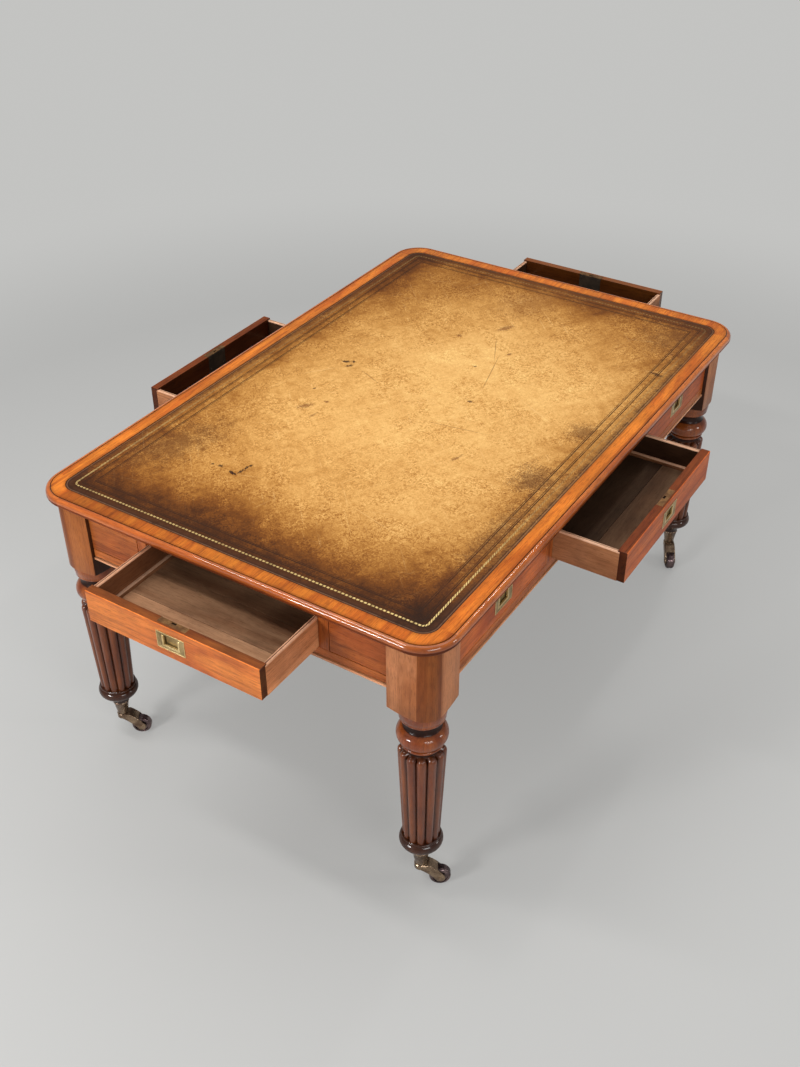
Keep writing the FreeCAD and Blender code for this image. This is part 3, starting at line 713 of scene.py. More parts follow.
horn = sheet("horn", [(along, -cheek_outer, height) for along, height in outline])
bpy.ops.mesh.extrude_region_move(TRANSFORM_OT_translate={"value": (0, 2 * cheek_outer, 0)})
faced_out(horn)
soften(horn, 0.0026, 4, 50)
carve(horn, turn("plate", [(0.0135, horn_top), (plate_radius, horn_top - 0.0015),
                           (plate_radius, horn_foot + 0.002), (0.0130, horn_foot)], 48), "UNION")
axle_place, crosswise = (trail, 0, wheel_radius), (pi / 2, 0, 0)
carve(horn, rod(wheel_radius + wheel_clearance, 2 * cheek_inner, axle_place, crosswise, 64))
carve(horn, turn("pocket", [(pocket_radius, horn_foot), (pocket_radius, 0.001)], 32))
carve(horn, turn("bore", [(pin_radius + running_gap, horn_top + 0.001),
                          (pin_radius + running_gap, horn_foot - 0.001)], 32))
axle = rod(axle_radius, 2 * (cheek_outer + 0.0015), axle_place, crosswise, 32)
carve(horn, soften(axle, 0.0008), "UNION")
smooth(horn)

profile = drawn((0.0045, wheel_half), (hub_outer[0], wheel_half), (hub_outer[1], web_half[0]),
                (rim_inner[0], web_half[1]), (rim_inner[1], wheel_half), (rim_inner[2], wheel_half),
                (wheel_radius, tread_half, 0.0017, 7), (wheel_radius, -tread_half),
                (rim_inner[2], -wheel_half, 0.0017, 7), (rim_inner[1], -wheel_half),
                (rim_inner[0], -web_half[1]), (hub_outer[1], -web_half[0]), (hub_outer[0], -wheel_half),
                (0.0045, -wheel_half))
wheel = turn("wheel", profile, 64)
bore = turn("bore", [(axle_radius + running_gap, 0.013), (axle_radius + running_gap, -0.013)], 32)
carve(wheel, bore)
wheel.data.transform(Matrix.Translation(axle_place) @ Matrix.Rotation(pi / 2, 4, "X"))
smooth(wheel)

for name in legs:
    low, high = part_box("castor_wheel_" + name)
    axle = (low + high) / 2
    post = leg_axis[name]
    heading = atan2(axle.y - post.y, axle.x - post.x)
    place = Matrix.Translation(post) @ Matrix.Rotation(heading, 4, "Z")
    for master, word, body, slot, metal_used in (
            (horn, "horn", "castor_", "castor_brass", castor_brass),
            (wheel, "wheel", "wheel_", "castor_wheel_brass", wheel_brass)):
        piece = copy_of(master, "castor_" + word + "_cast_" + name, place)
        clad(piece, metal_used)
        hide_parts("castor_" + word + "_" + name)
        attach(piece, body + name)
bpy.data.objects.remove(horn)
bpy.data.objects.remove(wheel)


# Frame
# Rails over and under the drawers, uprights between them and fixed panels beside the end
# drawers, all mahogany faced flush; a round-nosed bead is planted along each lower rail over
# a fine groove.
frieze_wood = wood("mahogany_frieze", (188, 104, 48), (154, 76, 32), (90, 38, 16), 0.4, 0.15, 0.8)
# The bead's wood is paler than the frieze's: a painted highlight along its round nose.
bead_highlight_wood = wood("mahogany_bead_painted_highlight", (216, 156, 114), (190, 124, 82), (112, 58, 30), 0.26, 0.8, 0.6)
arris = 0.0009
low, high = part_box("upper_rails")
frieze_x, frieze_y = high.x, high.y
upper_foot, under_top = low.z, high.z
low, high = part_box("lower_rails")
lower_foot, lower_head = low.z, high.z
rail_depth = 0.045
inner_x = leg_axis["front_right"].x - half_block
inner_y = leg_axis["back_right"].y - half_block
bead_reach = 0.0025
bead_height = 0.005
bead_seat = 0.006
bead_groove = 0.003
panel_thick = 0.022
long_post = (0.238, 0.268)
end_post = (0.224, 0.249)
front_gap = 0.0015
board_count = 0


def board(low, high, along, edge=arris, tone=0.0):
    """A planed board between two corners, its arrises eased, its grain along one axis."""
    global board_count
    board_count += 1
    piece = soften(block(low, high), edge, 2)
    return lay_grain(piece, along, (1.7 * board_count, 0.31 * board_count, 0.13 * board_count), tone)


def around(side, along, out, height):
    """The low and high corner of a span along a side of the desk, out from its frieze, and up."""
    points = []
    for run, reach, z in zip(along, out, height):
        if side == "front":
            points.append((run, -frieze_y - reach, z))
        elif side == "back":
            points.append((-run, frieze_y + reach, z))
        elif side == "left":
            points.append((-frieze_x - reach, -run, z))
        else:
            points.append((frieze_x + reach, run, z))
    return [[pick(pair) for pair in zip(*points)] for pick in (min, max)]


def dressed(name, pieces, wood_used, node_name, body="desk"):
    """Boards joined to one piece that stands for a node of the frame."""
    whole = joined(name, pieces)
    clad(whole, wood_used)
    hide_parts(node_name)
    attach(whole, body)
    return whole


sides = {"front": "X", "back": "X", "left": "Y", "right": "Y"}
parts = {"upper": [], "lower": [], "bead": [], "post": [], "panel": []}
for side, along in sides.items():
    run = inner_x if along == "X" else inner_y
    upper_span = around(side, (-run, run), (-rail_depth, 0), (upper_foot, under_top))
    parts["upper"].append(board(*upper_span, along))
    rail = block(*around(side, (-run, run), (-rail_depth, 0), (lower_foot, lower_head)))
    groove_head = lower_foot + bead_height + bead_groove
    carve(rail, block(*around(side, (-run - 0.01, run + 0.01), (-bead_seat, 0.01),
                              (lower_foot - 0.01, groove_head))))
    soften(rail, arris)
    # The groove under each rail is darkened: painted shade in the groove.
    soil_and_shade(rail, lambda point: 0.9 if point.z < groove_head + 0.0003 else 0.0)
    parts["lower"].append(lay_grain(rail, along, (2.3 * len(parts["lower"]), 0.4, 0.9)))
    bead = block(*around(side, (-run, run), (-bead_seat, bead_reach),
                         (lower_foot, lower_foot + bead_height)))
    spot = 0 if along == "Y" else 1
    reach = (frieze_x if along == "Y" else frieze_y) + bead_reach - 0.0001
    rounded(bead, lambda ends: all(abs(end[spot]) > reach for end in ends)
            and abs(ends[0][spot - 1] - ends[1][spot - 1]) > run, bead_height / 2 - 0.0001, 5)
    smooth(bead, 40)
    # The bead's faces are made lighter still: painted highlight.
    parts["bead"].append(lay_grain(bead, along, (3.1 * len(parts["bead"]), 0.7, 0.2), 0.6))
    near, far = long_post if along == "X" else end_post
    for sign in (-1, 1):
        span = sorted((sign * near, sign * far))
        parts["post"].append(board(*around(side, span, (-rail_depth, 0), (lower_head, upper_foot)), "Z"))
        if along == "Y":
            span = sorted((sign * (far + front_gap), sign * run))
            panel_span = around(side, span, (-panel_thick, 0), (lower_head + front_gap, upper_foot))
            parts["panel"].append(board(*panel_span, along, tone=-0.1))

dressed("rails_over_drawers", parts["upper"], frieze_wood, "upper_rails")
dressed("rails_under_drawers", parts["lower"], frieze_wood, "lower_rails")
dressed("planted_beads", parts["bead"], bead_highlight_wood, "rail_beads")
dressed("uprights_between_drawers", parts["post"], frieze_wood, "drawer_divisions")
dressed("panels_beside_end_drawers", parts["panel"], frieze_wood, "end_panels")


# Inside boards
# Rough planed softwood partitions from rail to rail, with the runners, kickers and stops that
# carry and guide the drawers nailed to them. Never polished, only darkened by air and dust.
carcass = {"cross_partitions": "Y", "long_partitions": "X", "drawer_runners": "Y",
           "drawer_kickers": "Y", "drawer_stops": "X"}
for name, along in carcass.items():
    clad(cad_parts[name],
         wood("carcass_" + name, (118, 88, 62), (92, 66, 46), (58, 40, 28), 0.75, 0.0, 0.8, 0.4, along))


# Top board
# The panel that carries the leather, the border and the moulding. Only its underside shows,
# unpolished and dark.
clad(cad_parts["top_board"],
     wood("mahogany_underside", (120, 76, 50), (96, 58, 38), (60, 34, 24), 0.6, 0.0, 0.8, 0.4, "X"))


# Border and moulding
# A border of veneer round the leather, four lengths butted between four corner pieces, and
# outside it a solid thumbnail moulding, set off by a fine sunk line. Both polished orange.
top_low, top_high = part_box("edge_moulding")
top_z = top_high.z
border_low, border_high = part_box("crossband_border")
border_foot = border_low.z
quirk_x, quirk_y = border_high.x, border_high.y
moulding_width = top_high.x - quirk_x
corner_radius = 0.080
quirk_radius = corner_radius - moulding_width
border_width = 0.0305
quirk_width = 0.0024
quirk_depth = 0.0020
flat_width = 0.0024
nose_drop = 0.0115
return_width = 0.005
run_x, run_y = quirk_x - quirk_radius, quirk_y - quirk_radius
corner_steps = 20


def run_round(name, section):
    """A section, given outward from the quirk line and upward, drawn round the whole top: a
    straight run, a quarter turn, and so on, and closed on itself."""
    piece = sheet(name, [(-run_x, -quirk_y - out, up) for out, up in section])
    for way, centre in (((2 * run_x, 0, 0), (run_x, -run_y, 0)), ((0, 2 * run_y, 0), (run_x, run_y, 0)),
                        ((-2 * run_x, 0, 0), (-run_x, run_y, 0)), ((0, -2 * run_y, 0), (-run_x, -run_y, 0))):
        bpy.ops.mesh.extrude_region_move(TRANSFORM_OT_translate={"value": way})
        bpy.ops.mesh.spin(steps=corner_steps, angle=-pi / 2, center=centre, axis=(0, 0, 1))
    bpy.ops.object.mode_set(mode="OBJECT")
    return piece


def seam_closed(piece):
    """Merge the end of a run with its start, and turn every face outward."""
    choose(piece, "FACE", lambda ends: all(abs(end.x + run_x) < 1e-5 and end.y < -run_y for end in ends))
    bpy.ops.mesh.delete(type="ONLY_FACE")
    bpy.ops.mesh.select_all(action="SELECT")
    bpy.ops.mesh.remove_doubles(threshold=0.00002)
    return faced_out(piece)


def along_edge(place):
    """How far round the top a place lies, how far out from the quirk line, and its side."""
    over_x, over_y = abs(place.x) - run_x, abs(place.y) - run_y
    if over_x > 0 and over_y > 0:
        angle = atan2(over_y, over_x)
        return angle * corner_radius, hypot(over_x, over_y) - quirk_radius, "corner"
    if over_y > over_x:
        return place.x, abs(place.y) - quirk_y, "long"
    return place.y, abs(place.x) - quirk_x, "end"


worn_strip = 0.007
section = [(0, border_foot), (0, top_z), (-worn_strip, top_z), (worn_strip - border_width, top_z),
           (-border_width, top_z), (-border_width, border_foot)]
border = seam_closed(run_round("border_veneer", section))


def border_grain(place, middle):
    """The veneer's grain runs along the desk all round, each piece cut from its own leaf. It
    is darker away from the near corner."""
    part = along_edge(middle)[2]
    leaf = {"long": 1, "end": 2, "corner": 3}[part] + 3 * (middle.x > 0) + 6 * (middle.y > 0)
    away_tone = -0.35 - 0.7 * place.y if part == "end" and place.x < 0 else 0.05
    if part == "long" and place.y < 0:
        away_tone = -0.35 * place.x
    return ([place.x + 2.3 * leaf, place.y + 0.37 * leaf, place.z],
            0.0 if part == "corner" else away_tone)


def border_soil(place):
    """Wax and dirt lie along both edges of the border, and more of it outside."""
    out = along_edge(place)[1]
    return 0.42 if out > -0.001 else 0.32 if out < 0.001 - border_width else 0.0


lay_by(border, border_grain)
soil_and_shade(border, border_soil)
clad(border, wood("mahogany_border", (226, 130, 42), (194, 96, 28), (120, 48, 16), 0.3, 0.25, 0.8, 0.5))
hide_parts("crossband_border")
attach(border, "desk")

shelf = top_z - quirk_depth
flat_end = (quirk_width + flat_width, top_z)
nose = (moulding_width, top_z - nose_drop)
heel = (moulding_width - return_width, top_low.z)
section = drawn((0, top_low.z), (0, shelf), (quirk_width, shelf), (quirk_width, top_z - 0.0003),
                (quirk_width + 0.0004, top_z), flat_end, (*nose, 0.0030, 9), (*heel, 0.0019, 6))
moulding = seam_closed(run_round("thumbnail_moulding", section))
smooth(moulding, 40)


def moulding_grain(place, middle):
    """The moulding's grain follows its run, along the sides and round the corners. Its top is painted light
    and the face below the nose painted shade, darker still at the corners.
    """
    part = along_edge(middle)[2]
    out = along_edge(place)[1]
    if part == "corner":
        along = 5 + atan2(max(0, abs(place.y) - run_y), max(0, abs(place.x) - run_x)) * corner_radius
    else:
        along = place.x if part == "long" else 9 + place.y
    # Painted light and shade: the top of the moulding lighter, below the nose darker, the corners darker.
    tone = 0.35 if middle.z > top_z - 0.0035 else 0.1 if middle.z > top_z - nose_drop else -0.3
    if part == "corner":
        tone -= 0.3
    return [along, out + 0.2 * (middle.x > 0) + 0.4 * (middle.y > 0), place.z], tone


def quirk_wax_and_shade(place):
    """Old wax fills the sunk line, and it is also darkened as painted shade in the groove."""
    sunk = place.z < shelf + 0.0002 and along_edge(place)[1] < quirk_width + 0.0003
    return 0.9 if sunk else 0.0


lay_by(moulding, moulding_grain)
soil_and_shade(moulding, quirk_wax_and_shade)
# Below the nose the moulding takes a darker matt mahogany: painted shade on its underside and return.
clad(moulding,
     wood("mahogany_moulding", (196, 108, 42), (162, 80, 28), (90, 38, 14), 0.26, 1.0, 0.7, 0.4),
     wood("moulding_return_painted_shade", (150, 74, 30), (118, 52, 20), (66, 28, 11), 0.5, 0.0, 0.7, 0.4))
for face in moulding.data.polygons:
    face.material_index = int(face.center.z < top_z - nose_drop - 0.0004)
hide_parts("edge_moulding")
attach(moulding, "desk")


# Leather
# One skin of thin hide glued into the well inside the border and hand stained: pale gold in
# the middle, rubbed dark to the edges; the pale middle and dark edges are also a painted pool
# of light and painted shade. A rope of gold is tooled near the rim, with blind lines inside
# it. Old ink, rings and scratches lie on it.
skin_low, skin_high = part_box("leather_skiver")
skin_x, skin_y = skin_high.x, skin_high.y
skin_radius = quirk_radius - border_width

bpy.ops.mesh.primitive_plane_add(size=2, location=(0, 0, skin_high.z))
leather = bpy.context.active_object
leather.name = "leather_top"
for point in leather.data.vertices:
    point.co.x *= skin_x
    point.co.y *= skin_y
bpy.ops.object.transform_apply(location=True, rotation=True, scale=True)
choose(leather, "VERT", lambda ends: True)
bpy.ops.mesh.bevel(offset=skin_radius, segments=10, affect="VERTICES")
bpy.ops.mesh.select_mode(type="FACE")
bpy.ops.mesh.select_all(action="SELECT")
bpy.ops.mesh.extrude_region_move(TRANSFORM_OT_translate={"value": (0, 0, skin_low.z - skin_high.z)})
faced_out(leather)
soften(leather, 0.0004, 2, 60)

hide, tree, shader = finish("tooled_leather")
place = node(tree, "TexCoord").outputs["Object"]
axes = node(tree, "SeparateXYZ", {0: place}).outputs
x, y = axes[0], axes[1]
far_x, far_y = worked(tree, "ABSOLUTE", x), worked(tree, "ABSOLUTE", y)
past_x = worked(tree, "SUBTRACT", far_x, skin_x - skin_radius)
past_y = worked(tree, "SUBTRACT", far_y, skin_y - skin_radius)
out_x, out_y = worked(tree, "MAXIMUM", past_x, 0.0), worked(tree, "MAXIMUM", past_y, 0.0)
square = worked(tree, "MULTIPLY_ADD", out_x, out_x, times(tree, out_y, out_y))
corner = worked(tree, "SQRT", square)
inner = worked(tree, "MINIMUM", worked(tree, "MAXIMUM", past_x, past_y), 0.0)
depth = worked(tree, "SUBTRACT", skin_radius, worked(tree, "ADD", corner, inner))

clouds = noise(tree, place, 3.4, 3, 0.5, 0.5)
blots = noise(tree, place, 10.0, 4, 0.6, 0.9)
mottle = noise(tree, place, 44.0, 5, 0.7, 0.3)
grit = noise(tree, place, 260.0, 4, 0.7)


def brushed(angle, along, across):
    """Fine strokes laid across the hide at an angle."""
    turned = node(tree, "Mapping", {"Vector": place, "Rotation": (0, 0, angle)}).outputs[0]
    return noise(tree, stretched(tree, turned, (along, across, 1)), 1.0, 4, 0.65, 0.6)


def shaded(distance, strength, width):
    """One less a falloff of the given strength a distance from an edge: it shapes the hide's dark edges,
    which are stain and painted shade, and the wear of the gilt.
    """
    share = worked(tree, "DIVIDE", distance, width)
    fall = worked(tree, "POWER", 2.718, times(tree, times(tree, share, share), -1.0))
    return worked(tree, "SUBTRACT", 1.0, times(tree, fall, strength))


ragged = worked(tree, "ADD", worked(tree, "MULTIPLY_ADD", clouds, 0.16, -0.08),
                worked(tree, "MULTIPLY_ADD", blots, 0.16, -0.08))
left = worked(tree, "ADD", x, skin_x)
right = worked(tree, "SUBTRACT", skin_x, x)
near = worked(tree, "ADD", y, skin_y)
away = worked(tree, "SUBTRACT", skin_y, y)
near_corner = worked(tree, "ADD", left, near)
# The hide darkens from each edge and from the near corner: stain rubbed in, and painted shade around a
# painted pool of light on the middle.
bright = 0.90
for distance, strength, width in ((left, 0.74, 0.15), (left, 0.27, 0.36), (right, 0.38, 0.06),
                                  (right, 0.42, 0.30), (away, 0.34, 0.07), (away, 0.28, 0.22),
                                  (near, 0.30, 0.10), (near_corner, 0.36, 0.50)):
    rough_edge = worked(tree, "MAXIMUM", worked(tree, "ADD", distance, ragged), 0.0)
    bright = times(tree, bright, shaded(rough_edge, strength, width))
patches = 0.0
for pattern, amount in ((clouds, 0.38), (blots, 0.38), (mottle, 0.44), (grit, 0.56),
                        (brushed(0.5, 9, 60), 0.30), (brushed(-0.9, 8, 55), 0.26),
                        (brushed(1.5, 7, 90), 0.20)):
    patches = worked(tree, "ADD", patches, times(tree, worked(tree, "SUBTRACT", pattern, 0.5), amount))
bright = worked(tree, "MULTIPLY_ADD", patches, worked(tree, "MULTIPLY_ADD", bright, 0.55, 0.35), bright)
thick = worked(tree, "MULTIPLY_ADD", spread(tree, blots, 0.40, 0.62), 0.18, 0.07)
for scale in (150.0, 330.0):
    pores = spread(tree, noise(tree, place, scale, 2, 0.5, 0.8), 0.40, 0.66)
    shrink = worked(tree, "MULTIPLY_ADD", bright, 0.85, 0.12)
    bright = worked(tree, "SUBTRACT", bright, times(tree, times(tree, pores, thick), shrink))
stain = node(tree, "ValToRGB", {"Fac": bright})
ramp = stain.color_ramp
shades = [(0.0, (40, 19, 5)), (0.15, (78, 40, 10)), (0.3, (120, 68, 20)), (0.45, (160, 104, 42)),
          (0.6, (196, 140, 70)), (0.75, (222, 168, 96)), (0.9, (238, 188, 114)), (1.0, (248, 208, 132))]
while len(ramp.elements) < len(shades):
    ramp.elements.new(0.5)
for element, (share, colour) in zip(ramp.elements, shades):
    element.position = share
    element.color = paint(*colour)
colour = stain.outputs["Color"]
for angle in (0.35, -0.75, 1.2):
    score = spread(tree, brushed(angle, 7, 230), 0.64, 0.70)
    colour = mixed(tree, times(tree, score, worked(tree, "MULTIPLY_ADD", bright, 0.55, -0.06)),
                   colour, paint(252, 212, 146))


def line(distance, width):
    """One on a line at a depth from the leather's edge, and nothing off it."""
    off = worked(tree, "ABSOLUTE", worked(tree, "SUBTRACT", depth, distance))
    return spread(tree, off, width / 2, width / 2 + 0.0006, 1.0, 0.0)


rope_depth, rope_width, rope_lay = 0.0245, 0.0038, 0.0088
rim = spread(tree, depth, 0.0015, 0.0040, 1.0, 0.0)
colour = mixed(tree, times(tree, rim, 0.75), colour, paint(30, 18, 14))
worn = spread(tree, mottle, 0.34, 0.52, 0.45, 1.0)
torn_depth = worked(tree, "MULTIPLY_ADD", mottle, 0.012, depth)
dusk = times(tree, spread(tree, torn_depth, 0.018, 0.028, 1.0, 0.0),
             worked(tree, "MULTIPLY_ADD", spread(tree, mottle, 0.35, 0.65), 0.60, 0.15))
colour = mixed(tree, dusk, colour, paint(78, 46, 26))
blind = (48, 26, 12)
for distance, width, strength, shade in (
        (0.0040, 0.0012, 0.4, (150, 116, 92)), (0.0076, 0.0016, 0.8, (52, 30, 20)),
        (0.037, 0.0018, 1.0, blind), (0.0410, 0.0012, 0.9, blind),
        (0.057, 0.0018, 1.0, blind), (0.0610, 0.0012, 0.8, blind)):
    colour = mixed(tree, times(tree, line(distance, width), times(tree, worn, strength)),
                   colour, paint(*shade))
lay = worked(tree, "SUBTRACT", far_x, far_y)
twist = worked(tree, "SINE", times(tree, worked(tree, "ADD", lay, depth), 2 * pi / rope_lay))
rope = times(tree, line(rope_depth, rope_width), spread(tree, twist, -0.7, 0.2, 0.10, 0.9))
past = worked(tree, "MAXIMUM", worked(tree, "SUBTRACT", left, 0.12), 0.0)
kept = worked(tree, "SUBTRACT", 1.0, shaded(past, 0.82, 0.26))
rubbed = worked(tree, "MULTIPLY_ADD", shaded(near, 1.0, 0.30), -0.5, 1.0)
kept = worked(tree, "MULTIPLY_ADD", kept, rubbed, 0.18)
gilt = times(tree, rope, times(tree, kept, worn))
bed = times(tree, line(rope_depth, rope_width), 0.35)
colour = mixed(tree, bed, colour, paint(84, 50, 22))
colour = mixed(tree, gilt, colour, paint(244, 212, 138))


def mark(middle_x, middle_y, half_x, half_y, turn, ragged_edge, soft):
    """One inside a worn oval blot on the leather, and nothing outside it."""
    shifted = node(tree, "Mapping", {"Vector": place, "Location": (-middle_x, -middle_y, -skin_high.z)})
    spun = node(tree, "Mapping", {"Vector": shifted.outputs[0], "Rotation": (0, 0, turn)})
    sized = node(tree, "Mapping", {"Vector": spun.outputs[0], "Scale": (1 / half_x, 1 / half_y, 0)})
    reach = node(tree, "VectorMath", {0: sized.outputs[0]}, operation="LENGTH").outputs[1]
    reach = worked(tree, "MULTIPLY_ADD", worked(tree, "SUBTRACT", mottle, 0.5), ragged_edge, reach)
    reach = worked(tree, "MULTIPLY_ADD", worked(tree, "SUBTRACT", grit, 0.5), 1.4 * ragged_edge, reach)
    return spread(tree, reach, 1 - soft, 1 + soft, 1.0, 0.0)


ink, rust, brown, pale = (48, 22, 12), (80, 42, 20), (122, 70, 30), (246, 206, 140)
marks = [((-0.497, 0.186), (0.0032, 0.010), 0.30, ink, 0.95, 3.5, 0.3),
         ((-0.484, 0.173), (0.009, 0.0035), 0.10, ink, 0.9, 3.5, 0.3),
         ((-0.464, 0.171), (0.006, 0.0028), 0.10, ink, 0.9, 3.5, 0.3),
         ((-0.452, 0.168), (0.0035, 0.0035), 0.0, ink, 0.9, 3.5, 0.3),
         ((-0.489, 0.226), (0.0040, 0.006), 0.0, ink, 0.85, 2.0, 0.3),
         ((-0.492, 0.246), (0.0035, 0.004), 0.0, ink, 0.8, 2.0, 0.3),
         ((0.062, 0.262), (0.0040, 0.010), -0.30, ink, 0.9, 3.5, 0.3),
         ((0.048, 0.242), (0.008, 0.0040), 0.6, ink, 0.85, 3.5, 0.3),
         ((0.070, 0.244), (0.0035, 0.005), 0.2, ink, 0.85, 3.5, 0.3),
         ((-0.175, 0.222), (0.018, 0.008), 0.6, brown, 0.75, 3.5, 0.6),
         ((-0.200, 0.180), (0.012, 0.004), 0.2, brown, 0.6, 3.0, 0.6),
         ((-0.092, 0.250), (0.006, 0.003), 0.4, rust, 0.8, 2.0, 0.3),
         ((-0.130, 0.188), (0.004, 0.005), 0.0, brown, 0.8, 2.0, 0.4),
         ((0.340, 0.088), (0.006, 0.006), 0.0, brown, 0.7, 2.0, 0.5),
         ((0.216, -0.030), (0.004, 0.004), 0.0, rust, 0.8, 2.0, 0.3),
         ((0.316, -0.072), (0.008, 0.004), 0.5, brown, 0.8, 2.0, 0.4),
         ((0.055, -0.106), (0.004, 0.006), 0.0, rust, 0.8, 2.0, 0.3),
         ((-0.180, -0.206), (0.014, 0.004), 0.3, brown, 0.7, 3.0, 0.5),
         ((-0.160, -0.395), (0.045, 0.035), 0.0, rust, 0.65, 3.5, 0.9),
         ((0.070, -0.400), (0.030, 0.025), 0.0, rust, 0.55, 3.5, 0.9),
         ((0.440, 0.005), (0.018, 0.008), 0.4, brown, 0.7, 3.0, 0.6),
         ((0.620, 0.020), (0.080, 0.060), 0.3, brown, 0.35, 3.0, 0.9),
         ((-0.480, 0.380), (0.110, 0.050), 0.4, rust, 0.55, 3.0, 0.9),
         ((0.420, -0.438), (0.006, 0.016), 0.2, ink, 0.75, 2.5, 0.4),
         ((-0.420, -0.425), (0.140, 0.025), 0.0, rust, 0.5, 3.0, 0.9),
         ((0.640, -0.400), (0.080, 0.060), 0.0, rust, 0.45, 3.0, 0.9),
         ((0.205, -0.080), (0.080, 0.0011), -0.27, brown, 0.65, 0.8, 0.6),
         ((0.325, -0.028), (0.055, 0.0010), -0.46, brown, 0.6, 0.8, 0.6),
         ((-0.068, -0.135), (0.0010, 0.075), -0.16, brown, 0.6, 0.8, 0.6),
         ((0.030, 0.170), (0.0012, 0.035), 0.42, brown, 0.6, 1.0, 0.6),
         ((-0.010, 0.290), (0.0012, 0.040), -0.9, pale, 0.5, 0.8, 0.6),
         ((-0.480, -0.180), (0.0012, 0.060), 0.25, pale, 0.25, 0.8, 0.6),
         ((0.100, -0.260), (0.0012, 0.060), 0.50, pale, 0.35, 0.8, 0.6)]
for (at_x, at_y), (half_x, half_y), turn_by, shade, strength, ragged_edge, soft in marks:
    spot = mark(at_x, at_y, half_x, half_y, turn_by, ragged_edge, soft)
    colour = mixed(tree, times(tree, spot, strength), colour, paint(*shade))
tree.links.new(colour, shader.inputs["Base Color"])
sheen = worked(tree, "MULTIPLY_ADD", mottle, 0.25, 0.42)
tree.links.new(sheen, shader.inputs["Roughness"])
pebble = node(tree, "TexVoronoi", {"Vector": place, "Scale": 620.0}, feature="SMOOTH_F1")
relief = worked(tree, "ADD", times(tree, pebble.outputs["Distance"], 0.35), times(tree, mottle, 0.5))
relief = worked(tree, "SUBTRACT", relief, times(tree, rope, 0.5))
bump = node(tree, "Bump", {"Height": relief, "Strength": 0.35, "Distance": 0.0006})
tree.links.new(bump.outputs[0], shader.inputs["Normal"])
shader.inputs["Specular IOR Level"].default_value = 0.15
clad(leather, hide)
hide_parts("leather_skiver")
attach(leather, "desk")


# Drawers
# Solid mahogany fronts; thin oak sides with rounded tops; a bottom of narrow boards laid
# across, let into grooves and covered along the sides with quarter-round slips; a low back.
front_thick = 0.022
worn_arris = 0.0014
side_thick = 0.010
side_drop = 0.0035
housing = 0.004
tongue = 0.005
bottom_rise = 0.007
bottom_thick = 0.006
back_thick = 0.010
back_drop = 0.006
slip = 0.009
plank = 0.085
front_wood = wood("mahogany_front", (212, 122, 52), (182, 92, 36), (112, 50, 20), 0.3, 0.3, 0.8, 0.45)
# The fronts on the long sides take a darker copy of the fronts' mahogany: painted shade.
long_front_shaded_wood = wood("mahogany_long_front_painted_shade", (200, 104, 46), (168, 76, 32), (100, 40, 16), 0.4, 0.12, 0.8, 0.45)
# Pale wood on the tops of the sides and back and on the slips' crests: worn, and a painted highlight.
rubbed_and_highlit_wood = wood("drawer_rubbed_and_highlit", (232, 184, 150), (206, 152, 118), (130, 84, 56), 0.5, 0.1, 0.5, 0.5)
lining_wood = wood("drawer_lining", (182, 122, 82), (150, 94, 60), (88, 52, 32), 0.55, 0.08, 0.6, 0.5)
bottom_wood = wood("drawer_bottom", (152, 114, 84), (126, 88, 62), (78, 50, 34), 0.65, 0.0, 0.45, 0.4)
side_round = 0.0036
slip_rubbed_and_highlit = 0.62
plank_gap = 0.0008
cut_past = 0.01
cut_behind = 0.03
plate_size = (0.072, 0.042)
plate_seat = 0.0012
pan_size = (0.051, 0.0341)
pan_deep = 0.008
lock_size = (0.068, 0.050, 0.009)
selvedge_size = (0.073, 0.015, 0.0015)
selvedge_inset = 0.001
turns = {"back": 0, "left": pi / 2, "front": pi, "right": -pi / 2}
# Painted light inside each drawer: the left end drawer's box is painted light, the others painted dark as
# shade.
painted_light_of_box = {"left": 0.7, "front": -1.4, "back": -1.4, "right": -1.4}
drawers = [side + word for side in ("front", "back") for word in ("_centre", "_left", "_right")]
drawers += ["left_end", "right_end"]


def drawer_place(name):
    """The move from a drawer drawn facing +Y, its face on the X axis, to where it stands."""
    low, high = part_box("drawer_front_" + name)
    side = name.split("_")[0]
    middle = (low + high) / 2
    place = {"back": (middle.x, high.y), "front": (middle.x, low.y), "left": (low.x, middle.y),
             "right": (high.x, middle.y)}[side]
    return Matrix.Translation((place[0], place[1], 0)) @ Matrix.Rotation(turns[side], 4, "Z")


def about(size, middle=0.0):
    """The two ends of a length that lies about its middle."""
    return middle - size / 2, middle + size / 2


def rubbed_and_highlit_above(piece, height):
    """Give a board of the drawer's lining its wood, pale above a height: worn, and a painted highlight."""
    clad(piece, lining_wood, rubbed_and_highlit_wood)
    for face in piece.data.polygons:
        face.material_index = int(face.center.z > height)
    return piece


